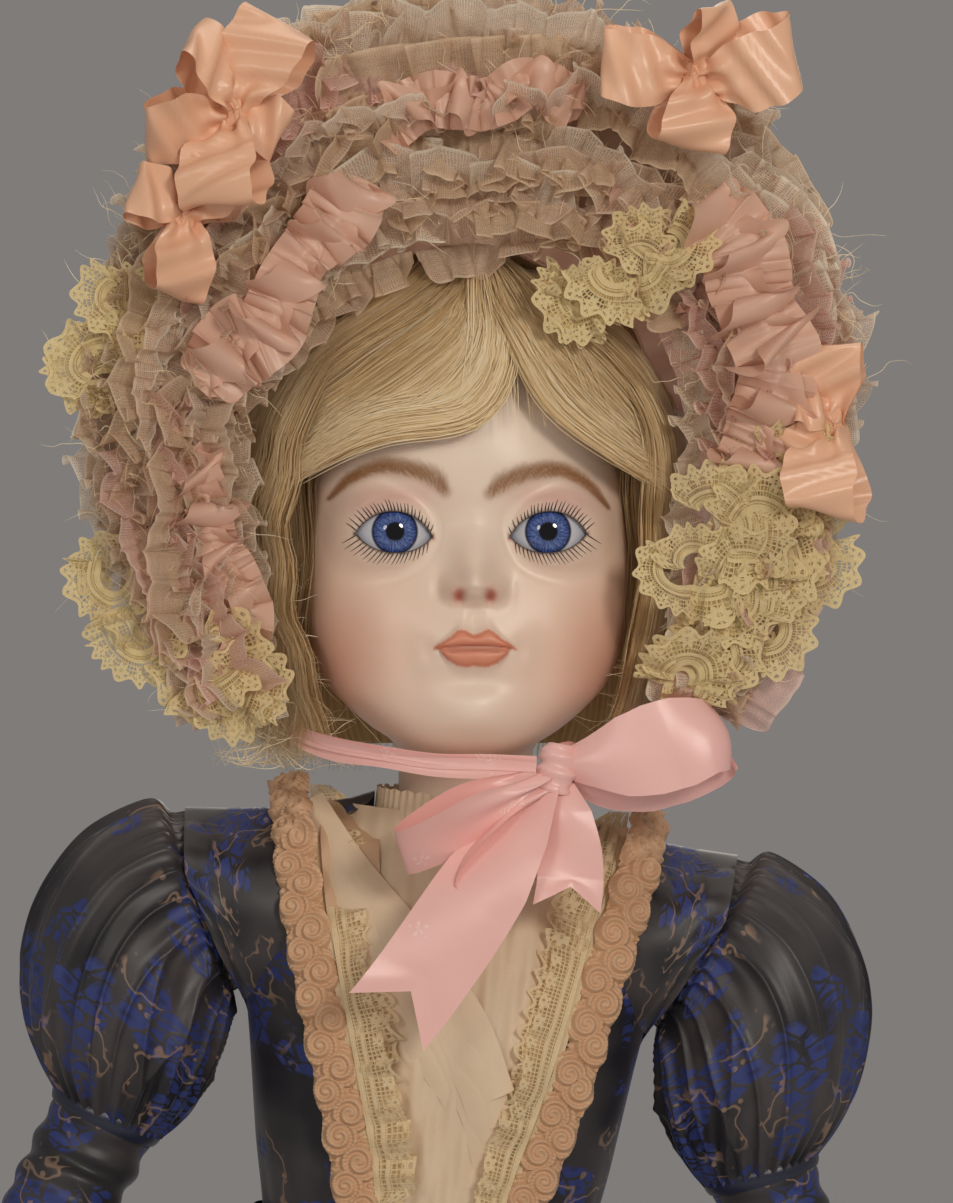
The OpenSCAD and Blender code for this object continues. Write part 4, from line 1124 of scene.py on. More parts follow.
    # the back and sides, hanging from the crown
    for k in range(22):
        a = math.radians(62 + 236 * k / 21)
        sx, cy = math.sin(a), -math.cos(a)
        st += lock([(10 * sx, 12 + 12 * cy, 632), (40 * sx, 12 + 46 * cy, 616), (50 * sx, 12 + 55 * cy, 588),
                    (51.5 * sx, 12 + 53 * cy, 555),
                    (52 * sx, 12 + 46 * cy, 522), (50 * sx, 14 + 38 * cy, 488)], 115, 8.5, 4.5, 500 + k,
                    tip=0.7, wave=1.5, waves=4.5, tone=0.58,
                   fly=0.12, width=0.55, short=0.45)
    # frizz at the ends
    r = np.random.default_rng(77)
    for k in range(420):
        side = -1 if r.random() < 0.72 else 1
        p0 = np.array([side * (48 + 8 * r.random()), -20 + 22 * r.random(), 520 + 30 * r.normal() * 0.6])
        p0[2] = np.clip(p0[2], 500, 590)
        step = np.array([side * 0.8, -0.5, -2.2])
        pts = [p0]
        for _ in range(6):
            step = step * 0.85 + r.normal(size=3) * np.array([1.7, 1.1, 1.7])
            pts.append(pts[-1] + step)
        pts = np.array(pts)
        pts[:, 2] = 491 + 0.8 * np.abs(pts[:, 2] - 491)
        pts[:, 0] = np.clip(pts[:, 0], -70, 66)
        st.append((spline(pts, 22), 0.22, 0.8 + 0.15 * r.random(), (side * 0.5, -1, 0)))
    ribbon_strands("mohair_strands", st)


wig()


# ---------------------------------------------------------------- gathered cloth

def ruffle(name, path, out, face, width, wavelength, amp, material, seed, nv=9, step=0.9, taper=0.06,
           lift=0.0, both=False, curl=0.9,
           wild=1.0, fine=0.0, **kw):
    """A strip gathered along a path.

    out is the way it spreads and face the way its folds stand; both spreads it to either side.
    """
    path = np.asarray(path, float)
    length = length_of(path)
    nu = max(24, int(length / step))
    p = spline(path, nu)
    s = np.linspace(0, length, nu)
    t = tangents(p)
    o = np.asarray(out, float)
    o = evenly(o, nu) if o.ndim == 2 else np.tile(o, (nu, 1))
    o = square_to(t, o)
    n = np.cross(t, o)
    f = np.asarray(face, float)
    n *= np.where((n * f).sum(1, keepdims=True) < 0, -1, 1)
    ph = 2 * pi * s / wavelength + 1.6 * wild * wobble(s / (wavelength * 1.9), seed) + seed
    am = amp * (1 + np.clip(0.45 * wild * wobble(s / (wavelength * 1.3), seed + 1), -0.85, 1.2))
    wd = width * (1 + np.clip(0.13 * wild * wobble(s / (wavelength * 2.1), seed + 2), -0.5, 0.5))
    ends = smoothstep(np.minimum(s, s[-1] - s), 0, max(1.0, length * taper))
    v = np.linspace(-1, 1, 2 * nv - 1) if both else np.linspace(0, 1, nv)
    av = np.abs(v)[None]
    grow = av ** 0.75
    tilt = np.sin(ph * 0.5 + seed) * 0.25
    swing = np.sin(ph)[:, None] * am[:, None] * grow * ends[:, None]
    crinkle = fine * np.sin(2 * pi * s / 3.1 + 2.2 * wobble(s / 5, seed + 7))[:,
            None] * (1 - 0.45 * av) * smoothstep(av, 0, 0.15)
    swing = swing + crinkle
    slide = np.sin(2 * ph + 0.5)[:, None] * curl * 0.42 * am[:, None] * grow * ends[:, None]
    P = (p[:, None] + o[:, None] * (v[None] * (wd * (0.35 + 0.65 * ends))[:, None])[..., None]
         + n[:, None] * (swing + lift * av + tilt[:, None] * av * amp * 0.5)[..., None] + t[:,
                 None] * slide[..., None])
    gathered = length_of(P[:, -1])
    uv = np.stack(mesh(np.linspace(0, gathered, nu), np.abs(v) * width if both else v * width), -1)
    return grid(name, P, material, uv=uv, attrs={"edge": av + 0 * P[..., 0]}, **kw)


def bow_loop(name, base, along, up, length, width, material, full=0.42, twist=0.0, pinch=0.35, n=44, nw=13,
             seed=0, droop=0.0, crease=1.0,
             crumple=0.0, **kw):
    """One loop of a bow: out from the knot, over and back. up is the way the ribbon's width runs."""
    along, up = unit(np.asarray(along, float)), np.asarray(up, float)
    up = unit(up - (up @ along) * along)
    nrm = np.cross(along, up)
    th = np.linspace(0, 2 * pi, n)
    x = length * 0.5 * (1 - np.cos(th)) * (1 + 0.06 * np.sin(th))
    y = length * full * 0.5 * np.sin(th) * (0.55 + 0.45 * (1 - np.cos(th)) * 0.5)
    gather = pinch + (1 - pinch) * smoothstep(x / length, 0.02, 0.62)
    w = np.linspace(-0.5, 0.5, nw)
    ang = twist * (x / length)[:, None]
    fold = crease * (0.09 * length * np.exp(-(x / (0.33 * length)) ** 2))[:,
            None] * np.sin(w[None] * 4.5 * pi + seed) * 0.55
    soft = 0.02 * length * np.sin(w[None] * 3 + th[:, None] * 1.5 + seed)
    ww = width * w[None] * gather[:, None]
    P = (np.asarray(base, float) + along * x[:, None, None] + up * (ww * np.cos(ang))[..., None]
         + nrm * (y[:, None] + ww * np.sin(ang) + fold + soft)[..., None])
    crush = crumple * np.sin(4.1 * w[None] + 0.30 * x[:, None] + seed) * np.sin(0.42 * x[:,
            None] + 2.3 * w[None] + 2 * seed)
    P = P + nrm * (crush * smoothstep(x, 0, 5)[:, None])[..., None]
    P[..., 2] -= droop * (x[:, None] / length) ** 2
    return grid(name, P, material, **kw)


def flat_ribbon(name, pts, ups, widths, material, n=60, nw=13, ripple=0.6, seed=0, swallow=0.0, cup=0.0,
                **kw):
    """A ribbon along points; ups is the way its width runs at each point."""
    p = spline(pts, n)
    q = np.linspace(0, 1, n)
    t = tangents(p)
    up = square_to(t, evenly(ups, n))
    nrm = np.cross(t, up)
    wd = np.interp(q, np.linspace(0, 1, len(widths)), widths)
    w = np.linspace(-0.5, 0.5, nw)
    P = p[:, None] + up[:, None] * (w[None] * wd[:, None])[..., None]
    rp = ripple * np.sin(q * 7 + seed)[:,
                                       None] * np.cos(w * 3.2)[None] + cup * (np.cos(w * pi)[None]
                                               - 0.5) * np.ones((n, 1))
    P = P + nrm[:, None] * rp[..., None]
    if swallow:
        cut = swallow * (1 - np.abs(w) * 2) * smoothstep(q, 0.72, 1.0)[:, None]
        P = P - t[:, None] * cut[..., None]
    return grid(name, P, material, **kw)


def candy(name, path, face, width, wavelength, swing, turn, material, seed, n=260, nw=15, **kw):
    """A ribbon laid back and forth on itself along a path, turning from its face to its edge as it goes."""
    p = spline(path, n)
    t = tangents(p)
    f = unit(np.asarray(face, float) - (t @ np.asarray(face, float))[:, None] * t)
    across = np.cross(t, f)
    length = length_of(p)
    s = np.linspace(0, length, n)
    ph = 2 * pi * s / wavelength + 0.9 * wobble(s / (wavelength * 1.3), seed) + seed
    size = 1 + np.clip(0.25 * wobble(s / (wavelength * 1.6), seed + 3), -0.4, 0.5)
    mid = p + across * (swing * size * np.sin(ph))[:, None] + f * (swing * 0.8 * np.cos(ph))[:,
            None] + t * (0.25 * swing * np.sin(2 * ph + 0.7))[:, None]
    tilt = turn * np.sin(ph + 1.2) + 0.25 * wobble(s / wavelength, seed + 5)
    up = across * np.cos(tilt)[:, None] + f * np.sin(tilt)[:, None] + 0.2 * t * np.cos(ph * 0.5)[:, None]
    nrm = unit(np.cross(t, up))
    w = np.linspace(-0.5, 0.5, nw)
    ends = 0.45 + 0.55 * smoothstep(np.minimum(s, s[-1] - s), 0, 5)
    wide = width * size * ends
    ripple = 0.35 * np.sin(2 * pi * s / (wavelength * 0.31) + seed)[:, None] * (np.abs(w) * 2)[None] ** 1.5
    ripple = ripple + 0.9 * np.cos(w * pi)[None]
    P = mid[:, None] + up[:, None] * (w[None] * wide[:, None])[..., None] + nrm[:, None] * ripple[..., None]
    return grid(name, P, material, **kw)


# ---------------------------------------------------------------- bonnet

FRONT_T = [0, 0.12, 0.25, 0.4, 0.55, 0.7, 0.85, 1]
FRONT = {"ix": [0, 24, 44, 57, 61, 61, 60, 58], "iz": [635, 630, 616, 594, 570, 548, 527, 508],
         "ox": [0, 34, 65, 91, 106, 104, 91, 68], "oz": [708, 703, 686, 656, 615, 575, 540, 507]}
FINE_T = np.linspace(0, 1, 101)
_f = smooth_rows(np.stack([FRONT_T] + [FRONT[k] for k in ("ix", "iz", "ox", "oz")], 1), 400)
FRONT_FINE = {k: np.interp(FINE_T, _f[:, 0], _f[:, i + 1]) for i, k in enumerate(("ix", "iz", "ox", "oz"))}


def front(u, w, y):
    """A point on the bonnet's front: u from jaw (-1) to jaw (1), w from the face (0) to the edge (1)."""
    u, w = np.broadcast_arrays(np.asarray(u, float), np.asarray(w, float))
    t = np.abs(u)
    g = {k: np.interp(t, FINE_T, v) for k, v in FRONT_FINE.items()}
    x = np.sign(u) * (g["ix"] * (1 - w) + g["ox"] * w)
    z = g["iz"] * (1 - w) + g["oz"] * w
    return np.stack([x, np.broadcast_to(y, x.shape), z], -1)


def front_path(u0, u1, w, y, n=40):
    u = np.linspace(u0, u1, n)
    p = front(u, w, y)
    q = front(u, np.asarray(w) + 0.05, y)
    return p, unit(q - p)


def bonnet():
    # the stiff brim, its back covered in cloth laid in soft pleats
    u = np.linspace(-1, 1, 241)
    w = np.linspace(0.2, 0.93, 16)
    U, W = mesh(u, w)
    pleat = 0.9 * np.sin(U * 95) * W
    P = front(U, W, -13 - 13 * W + pleat)
    brim = grid("brim_cloth", P, M["buckram"], **ON_HEAD, replaces=["bonnet_brim"], slot="buckram")
    P2 = front(U, W, -9.5 - 11.5 * W + 1.3 * np.sin(U * 70 + 2 * W) * (0.3 + W))
    back = grid("brim_back", P2, M["dusty"], flip=True, **ON_HEAD, slot="peach_satin")
    # the soft crown behind: satin laid in folds that are drawn together at the back
    a = np.linspace(0, 2 * pi, 433)
    rr = np.linspace(0.02, 1, 70)
    A, R = mesh(a, rr)
    t = R * 1.98
    fold = np.sin(A * 26 + 1.6 * np.sin(3 * A) + 0.8 * np.sin(5 * A + 3 * R)) * (0.5 + 3.2 * R * (1 - R))
    fold += 0.8 * waves(A, R, 71, ku=(6, 15), kv=(0.5, 1.5))
    rad = 64.6 + fold * np.clip(R * 3, 0, 1)
    dome = np.stack([rad * np.sin(t) * np.cos(A), 16 + rad * np.cos(t), 594 + rad * np.sin(t) * np.sin(A)],
                    -1)
    low = np.clip(545 - dome[..., 2], 0, None)
    dome[..., 2] = np.where(low > 0, 545 - low * 0.12, dome[..., 2])
    dome[..., 1] = dome[..., 1] - low * 0.6
    crown = grid("bonnet_crown_cloth", dome, M["dusty"], **ON_HEAD, replaces=["bonnet_crown"],
                 slot="peach_satin")
    # a gathered frill hangs from the crown's lower edge over the back hair
    a = np.linspace(-0.30, pi + 0.30, 60)
    path = np.stack([58 * np.cos(a), 14 + 57 * np.sin(a), 549 + 0 * a], 1)
    bavolet = ruffle("bonnet_bavolet", path, (0, 0.25, -1), (0, 1, 0.2), 27, 11, 3.0, M["dusty"], 8,
                     wild=1.6, step=0.6, **ON_HEAD,
                     slot="peach_satin")
    # satin band and puffed edge where the crown meets the brim
    p, d = front_path(-0.97, 0.97, 0.30, -4, 60)
    edge = ruffle("crown_heading", p, d * 0.5 + np.array([0, 1.0, 0]), (0, 0.6, 0), 11, 9, 2.8, M["dusty"],
                  18, wild=1.6, both=True, step=0.6,
                  **ON_HEAD, slot="peach_satin")
    # short lengths of gathered net, laid at all angles, thick enough to hide the brim
    r = np.random.default_rng(31)
    made = {"tulle": [], "tulle_pink": [], "tulle_pale": [], "dotted": []}
    rings = [0.05, 0.17, 0.30, 0.44, 0.58, 0.72, 0.86]
    kinds = ["tulle", "tulle_pink", "tulle_pale", "tulle", "tulle_pink", "tulle_pale", "dotted"]
    count = 112
    for k in range(count):
        ring = k % 7
        base_u = -0.99 + 1.98 * ((k // 7) + 0.5 * ring / 7 + 0.4 * r.random()) / (count / 7)
        span = 0.12 + 0.14 * r.random()
        turn = np.clip(r.normal() * 0.10, -0.2, 0.2)
        n = np.linspace(-1, 1, 14)
        un = np.clip(base_u + span * n, -0.995, 0.995)
        wn = np.clip(rings[ring] + turn * n + 0.03 * wobble(n * 1.7, 900 + k), 0.0, 0.9)
        yy = -27.5 - 8.5 * np.sin(pi * np.clip(wn, 0, 1) ** 0.8) + 1.8 * wobble(n * 1.3,
                300 + k) + r.normal() * 1.2
        p = front(un, wn, yy)
        q = front(un, wn + 0.05, yy)
        sgn = 1 if r.random() < 0.62 or ring > 5 else -1
        direction = sgn * unit(q - p) + np.array([0, -0.35 - 0.5 * r.random(), 0]) + r.normal(size=3) * 0.18
        big = r.random() * (0.35 if sgn < 0 and ring < 2 else 1.0)
        kind = "dotted" if (abs(base_u) < 0.33 and r.random() < 0.34) else kinds[r.integers(7)]
        wide = (10 + 9 * big) * (0.55 if ring == 6 else 0.8 if ring == 0 else 1.0)
        o = ruffle("frill_%d" % k, p, direction, (0, -1, 0.1), wide, 10 + 9 * big, 3.2 + 2.6 * big, M[kind],
                   940 + k, lift=1.0 + 3 * r.random(),
                   wild=1.5, curl=1.15, step=0.5, nv=10, fine=0.75, **ON_HEAD)
        made[kind].append(o)
    names = {"tulle": "tulle_frills", "tulle_pink": "pink_tulle_frills", "tulle_pale": "pale_tulle_frills",
             "dotted": "dotted_net_frills"}
    for kind, parts in made.items():
        o = join(names[kind], parts)
    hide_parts("bonnet_ruffle")
    # frayed silk threads standing out of the frills
    st = []
    for k in range(1500):
        u0 = -0.99 + 1.98 * r.random()
        w0 = r.random() ** 0.7 * 0.95
        p0 = front(u0, w0, -33 - 6 * r.random())
        q0 = unit(front(u0, w0 + 0.05, -33.0) - front(u0, w0, -33.0))
        step = q0 * 1.4 * (1 if r.random() < 0.7 else -1) + np.array([0, -0.5, 0]) + 0.7 * r.normal(size=3)
        pts = [p0]
        for _ in range(6):
            step = step * 0.8 + 0.95 * r.normal(size=3)
            pts.append(pts[-1] + step)
        pts = np.array(pts)
        pts[:, 1] = np.clip(pts[:, 1], -47, -20)
        st.append((spline(pts, 22), 0.16, 0.75 + 0.25 * r.random(), (0, -1, 0.1)))
    ribbon_strands("frayed_threads", st, slot="tulle")
    # satin ribbon laid in deep gathers on either side of the face
    runs = [([(-31, -44, 652), (-36, -49, 640), (-47, -51, 628), (-54, -51, 612), (-63, -49, 606),
              (-73, -46, 594)], 11.5, 12.0),
            ([(62, -44, 646), (72, -49, 634), (75, -52, 618), (82, -51, 602), (79, -50, 588), (74, -47, 576),
              (68, -44, 570)], 12.5, 12.5),
            ([(-80, -40, 583), (-72, -43, 568), (-69, -43, 550), (-62, -40, 534), (-66, -38, 522)], 9.0, 10),
            ([(-26, -39, 664), (-12, -44, 672), (4, -45, 671), (16, -44, 677), (30, -41, 670)], 9.0, 10.5),
            ([(60, -40, 520), (57, -44, 509), (50, -44, 502)], 7, 9)]
    ps = []
    for i, (pts, width, wl) in enumerate(runs):
        p = spline(pts, 60)
        t = tangents(p)
        across = np.cross(t, np.array([0, -1.0, 0]))
        ps.append(candy("ruched_%d" % i, [(a, b - 2, c) for a, b, c in pts], (0, -1, 0), width * 1.35,
                        wl * 1.2, width * 0.36, 0.85,
                        M["dusty"], 3 + i, **ON_HEAD))
        ps.append(ruffle("ruched_low_%d" % i, p, across, (0, -1, 0), width * 0.85, wl * 0.7, 3.0, M["dusty"],
                         12 + i, both=True, step=0.5, nv=11,
                         wild=1.7, fine=0.5, **ON_HEAD))
    o = join("ruched_satin", ps)
    # clusters of yellow lace
    ps = []
    spots = [(30, -45, 618, 10), (40, -46, 626, 10), (50, -46, 634, 8), (66, -46, 560, 12),
             (79, -45, 550, 13), (70, -45, 540, 12), (88, -41, 562, 12),
             (84, -44, 574, 11), (62, -45, 547, 11), (76, -42, 532, 10), (-90, -38, 533, 12),
             (-96, -34, 545, 9), (-66, -39, 512, 11),
             (-74, -40, 520, 10), (-98, -34, 600, 9), (-90, -36, 618, 8), (92, -40, 548, 10),
             (66, -42, 526, 9), (58, -43, 514, 8)]
    for i, (x, y, z, rad) in enumerate(spots):
        for j in range(3):
            th0 = r.random() * 6.28
            a = np.linspace(th0, th0 + 3.4, 26)
            rr = rad * (0.16 + 0.20 * j) * (1 + 0.35 * np.sin(a * 2 + i))
            p = np.stack([x + rr * np.cos(a) + 2 * r.normal(), y - 1.4 * j + 0 * a + 1.2 * np.sin(a * 3),
                          z + rr * np.sin(a) + 1.5 * r.normal()], 1)
            ou = np.stack([np.cos(a), -0.30 + 0 * a, np.sin(a)], 1)
            ps.append(ruffle("lacebit_%d_%d" % (i, j), p, ou, (0, -1, 0), 11, 7.5, 2.4, M["lace_yellow"],
                             60 + i * 3 + j, step=0.5, wild=1.8,
                             curl=1.2, **ON_HEAD))
    o = join("lace_clusters", ps)
    # crumpled satin bows on the brim: (centre, then each loop's angle, length and ribbon width)
    ps = []
    bows = [((-64, -53, 668), [(62, 27, 22), (118, 24, 20), (196, 25, 21), (262, 29, 22), (330, 15, 16)]),
            ((-78, -51, 640), [(40, 18, 18), (150, 16, 17), (268, 22, 20)]),
            ((60, -52, 678), [(172, 27, 20), (12, 28, 21), (262, 20, 20), (75, 20, 18)]),
            ((97, -45, 585), [(95, 22, 19), (262, 27, 20), (215, 15, 15), (150, 13, 14)])]
    for i, (at, loops) in enumerate(bows):
        for j, (deg, L, wide) in enumerate(loops):
            a = math.radians(deg)
            al = np.array([math.cos(a), -0.20 - 0.22 * (j % 2), math.sin(a)])
            up = np.array([-math.sin(a) * 0.85, -0.45 if j % 2 else 0.25, math.cos(a) * 0.85])
            ps.append(bow_loop("bowbit_%d_%d" % (i, j), at, al, up, L, wide, M["peach"],
                               full=0.50 + 0.1 * (j % 3), twist=0.7 * math.sin(j * 2.1 + i),
                               seed=i * 5 + j, crumple=2.2, pinch=0.42, crease=1.5, n=60, nw=23, **ON_HEAD))
        T, Vv = mesh(np.linspace(0, 2 * pi, 36), np.linspace(0, pi, 16))
        rad = 4.4 + 0.6 * np.sin(T * 4 + Vv * 2)
        K = np.stack([at[0] + 0.8 * rad * np.sin(Vv) * np.cos(T), at[1] - 1.5 + 0.7 * rad * np.cos(Vv),
                      at[2] + 1.15 * rad * np.sin(Vv) * np.sin(T)], -1)
        ps.append(grid("bowknot_%d" % i, K, M["peach"], **ON_HEAD))
    o = join("satin_bows", ps)
    assign(o, replaces=["bonnet_rosettes"])


bonnet()


# ---------------------------------------------------------------- the pink ribbon bow

def ribbon_bow():
    kw = {**ON_HEAD, "slot": "pink_satin"}
    # the narrow folded tie from jaw to jaw
    ties = []
    left = [(-56, -6, 511), (-50, -16, 504), (-45, -24, 499.5), (-36, -33.5, 497), (-24, -41, 495.2),
            (-10, -45.8, 493.6),
            (4, -48.2, 492.8), (17, -50.0, 492.6)]
    right = [(29, -49, 494), (36, -41, 496.5), (43, -30, 500), (50, -17, 504.5), (56, -6, 510)]
    for k, (dz, dy, wd) in enumerate([(0.0, 0.0, 5.6), (1.1, -0.45, 4.4), (-1.5, -0.3, 3.6)]):
        for side, pts in (("l", left), ("r", right)):
            p = [(x, y + dy, z + dz + 0.35 * math.sin(x * 0.3 + k)) for x, y, z in pts]
            ties.append(flat_ribbon("tie_%s%d" % (side, k), p, [(0, -0.25 + 0.2 * k, 1)] * 4,
                                    [wd, wd * 0.9, wd], M["pink"], n=90, ripple=0.25, seed=k,
                                    cup=-0.5, **kw))
    tie = join("chin_tie", ties)
    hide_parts("chin_ribbon")
    # the big loop on its left: the front is seen face on, and the ribbon turns over at the far end
    front = flat_ribbon("loop_front", [(24, -49, 493.5), (32, -53, 494.5), (43, -56, 496.5),
                                       (54, -56.5, 499.5), (62, -54.5, 501.5), (66.5, -50.5, 501.5),
                                       (67.5, -46.5, 500.5)],
                        [(0.10, -0.1, 1), (0.05, 0.05, 1), (-0.15, 0.1, 1), (-0.28, 0.1, 1), (-0.3, 0.25, 1),
                         (-0.3, 0.3, 1)],
                        [7.5, 14, 21.5, 24.5, 24.5, 21, 19], M["pink"], n=80, nw=25, ripple=1.1, seed=1,
                        cup=1.6, **kw)
    back = flat_ribbon("loop_back", [(67.5, -46.5, 500.5), (65, -43.5, 498), (58, -42.5, 494),
                                     (48, -43.5, 490), (38, -45.5, 488.5), (30, -46.5, 490),
                                     (24, -47, 492.5)],
                       [(-0.3, 0.3, 1), (-0.3, -0.1, 1), (-0.2, -0.35, 1), (-0.1, -0.4, 1), (0, -0.3, 1),
                        (0.1, -0.2, 1)],
                       [19, 21, 22, 21, 17, 12, 7.5], M["pink"], n=80, nw=25, ripple=0.9, seed=3, cup=-1.0,
                       **kw)
    # the small loop on its right, folded down on the chest
    small = bow_loop("loop_small", (21, -50, 490), (-1, -0.10, -0.42), (0.35, -0.25, 1), 44, 19, M["pink"],
                     full=0.26, twist=-0.5, pinch=0.36, seed=2, droop=3, **kw)
    small2 = bow_loop("loop_small_low", (19, -50, 486), (-0.82, -0.05, -0.85), (0.7, -0.2, 0.6), 34, 13,
                      M["pink"], full=0.3, twist=0.4, pinch=0.4, seed=5, droop=1, **kw)
    loops = join("bow_loops_satin", [front, back, small, small2])
    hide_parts("bow_loops")
    # knot: the tie wrapped round, in three soft folds
    th = np.linspace(0, 2 * pi, 73)
    v = np.linspace(-1, 1, 33)
    T, V = mesh(th, v)
    rx = 5.2 - 1.0 * V ** 2 + 0.45 * np.sin(V * 9 + T * 0.7) + 0.3 * np.sin(V * 17 + 2 * T)
    ry = 4.3 - 0.6 * V ** 2 + 0.4 * np.sin(V * 9 + T * 0.7)
    K = np.stack([22.5 + rx * np.cos(T) + 0.9 * V, -49.5 + ry * np.sin(T),
                  492.5 + 6.6 * V + 0.5 * np.sin(T * 2)], -1)
    knot = grid("bow_knot_satin", K, M["pink"], replaces=["bow_knot"], **kw)
    # tails: the long one goes down across the chest to a swallow-tailed end
    k1 = flat_ribbon("tail_long", [(20, -51, 489), (13, -54, 478), (4, -56.6, 464), (-6, -59, 449),
                                   (-16, -61, 435), (-23.5, -62, 425.5)],
                     [(0.5, 0, 0.5), (0.86, -0.1, 0.55), (0.86, 0.05, 0.56), (0.84, 0.1, 0.56),
                      (0.82, 0.1, 0.6)],
                     [8.5, 19, 24.5, 25, 25, 25.5], M["pink"], n=110, nw=29, ripple=1.0, seed=4,
                     swallow=10.5, cup=1.2, **kw)
    k2 = flat_ribbon("tail_short", [(23, -50, 488), (24, -52, 481), (25.5, -53, 472), (26, -54, 463),
                                    (25, -54.6, 455)],
                     [(1, 0, 0.1), (1, -0.25, 0.0), (0.97, -0.2, -0.08), (0.97, 0.1, -0.1),
                      (0.97, 0.1, -0.1)],
                     [8.5, 15, 17, 18, 18.5], M["pink"], n=70, nw=23, ripple=0.9, seed=6, swallow=6, cup=1.4,
                     **kw)
    tails = join("bow_tails_satin", [k1, k2])
    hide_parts("bow_tails")


ribbon_bow()


# ---------------------------------------------------------------- the dress on the torso

TORSO = smooth_rows([(262, 5, 32, 27), (272, 5, 44, 34), (290, 5, 50, 40), (320, 4, 47, 38),
                     (352, 2, 41, 33), (385, 2, 46, 35),
                     (415, 2, 50.5, 38), (436, 3, 54.5, 36), (450, 4, 54.5, 32), (460, 5, 45, 28),
                     (468, 5, 34, 25), (474, 5, 26, 22.5)], 400)


def torso_at(z):
    """The torso at a height: the Y of its middle, its half width and its half depth."""
    return [np.interp(z, TORSO[:, 0], TORSO[:, k]) for k in (1, 2, 3)]


def ball_front(z, reach):
    """The front of a ball round the shoulder, at a height."""
    return SHOULDER_Y - np.sqrt(np.clip(reach ** 2 - (z - SHOULDER_Z) ** 2, 0, None))


def chest(x, z, out):
    """The point of the dressed chest in front of (x, z), the given distance off the torso."""
    x, z = np.broadcast_arrays(np.asarray(x, float), np.asarray(z, float))
    cy, hw, hd = torso_at(z)
    hw, hd = hw + out, hd + out
    # shoulders: the upper arm's ball carries the cloth out sideways
    s = np.clip(np.abs(x) / hw, 0, 0.999)
    y = cy - hd * np.sqrt(1 - s ** 2)
    by = ball_front(z, 25.5 + out - 2)
    over = smoothstep(np.abs(x), 34, 46)
    y = np.minimum(y, y * (1 - over) + np.minimum(y, by) * over)
    return np.stack([x, y, z], -1)


OPENING = ([352, 376, 400, 426, 453, 479, 491], [16.5, 23.5, 30.5, 37, 45, 49.5, 51.5])


def bodice():
    kw = {"body": "torso", "slot": "brocade"}
    # back and sides and fronts: one wrap, open in a V down the chest
    n, a = 120, np.linspace(0, 1, 181)
    z = np.linspace(352, 471, n)
    cy, hw, hd = torso_at(z)
    vhalf = np.interp(z, OPENING[0], OPENING[1]) - 2.0
    g = 4.0
    ang0 = np.arcsin(np.clip(vhalf / (hw + g), 0, 0.98))
    A = ang0[:, None] + (2 * pi - 2 * ang0)[:, None] * a[None]
    wav = 0.35 * np.sin(A * 22 + z[:, None] * 0.02) * smoothstep(370 - z, -30, 20)[:, None]
    X = (hw + g)[:, None] * np.sin(A)
    Y = cy[:, None] - (hd + g)[:, None] * np.cos(A)
    P = np.stack([X + wav * np.sin(A), Y - wav * np.cos(A), z[:, None] + 0 * A], -1)
    wrap = grid("brocade_bodice", P, M["brocade"], replaces=["bodice"], **kw)
    # the yoke: one cloth from the collar over each shoulder to the armhole, and down in front and behind
    parts = [wrap]
    for side in (1, -1):
        u = np.linspace(0, 1, 70)
        t = np.linspace(-1, 1, 161)
        U, T = mesh(u, t)
        drop = np.abs(T) ** 1.2
        low = np.interp(U, [0, 0.55, 0.8, 1], [396, 400, 424, 434])
        top = np.interp(U, [0, 0.12, 0.3, 0.5, 0.75, 1], [482, 479.5, 477, 475, 473.6, 472.8])
        Z = top + (low - top) * drop
        edge = np.interp(Z, OPENING[0], OPENING[1]) - 2.5
        x_in = 25 + (edge - 25) * smoothstep(-T, 0.02, 0.3)
        x_out = np.interp(np.abs(T), [0, 0.5, 1], [77.5, 74.5, 63])
        x = x_in + (x_out - x_in) * U
        F = chest(x, np.minimum(Z, 469.5), 3.1)[..., 1]
        reach = np.interp(x, [44, 62, 72, 78], [26, 26, 25.8, 25.2])
        F = np.where(x > 44, np.minimum(F, ball_front(np.minimum(Z, 472.9), reach)), F)
        # close over the top of the shoulder in a round
        round_in = np.clip(np.abs(T) / 0.30, 0, 1)
        F = 4 + (F - 4) * np.sin(round_in * pi / 2) ** 0.9
        crease = 0.5 * np.sin(T * 30 + U * 6) * U ** 2 + 0.35 * np.sin(T * 17 - U * 9)
        F = F - crease * np.clip(np.abs(T) * 4, 0, 1)
        Y = np.where(T < 0, F, 9 - F)
        parts.append(grid("yoke_%d" % side, np.stack([x * side, Y, Z], -1), M["brocade"], flip=side > 0,
                          **kw))
    cloth = join("brocade_bodice", parts)


def edge_line(side, shift, z_top=486, z_low=366, out=5.0, n=60):
    """The edge of the V opening from neck to waist, shifted sideways from the middle of the ruching."""
    z = np.linspace(z_top, z_low, n)
    if side > 0:
        x = np.interp(z, [352, 382, 411, 433, 461, 491], [19, 28, 37, 41, 48.5, 53])
    else:
        x = np.interp(z, [352, 376, 400, 426, 453, 479, 491], [14, 20, 26.5, 34.5, 42.5, 48, 50])
    x = np.convolve(np.pad(x, 6, mode="edge"), np.ones(13) / 13, "valid")
    x = x + shift * np.interp(z, [360, 470], [0.7, 1.0])
    p = chest(x, np.minimum(z, 470), out)
    ball = ball_front(np.minimum(z, 470), 26 + out - 3.1)
    p[:, 1] = np.where(x > 42, np.minimum(p[:, 1], ball), p[:, 1])
    p[:, 1] = np.convolve(np.pad(p[:, 1], 5, mode="edge"), np.ones(11) / 11, "valid")
    p[:, 2] = np.minimum(z, 470 + (z - 470) * 0.62)
    p[:, 1] += np.clip(z - 468, 0, 30) ** 1.1 * 0.80
    p[:, 0] *= side
    return p


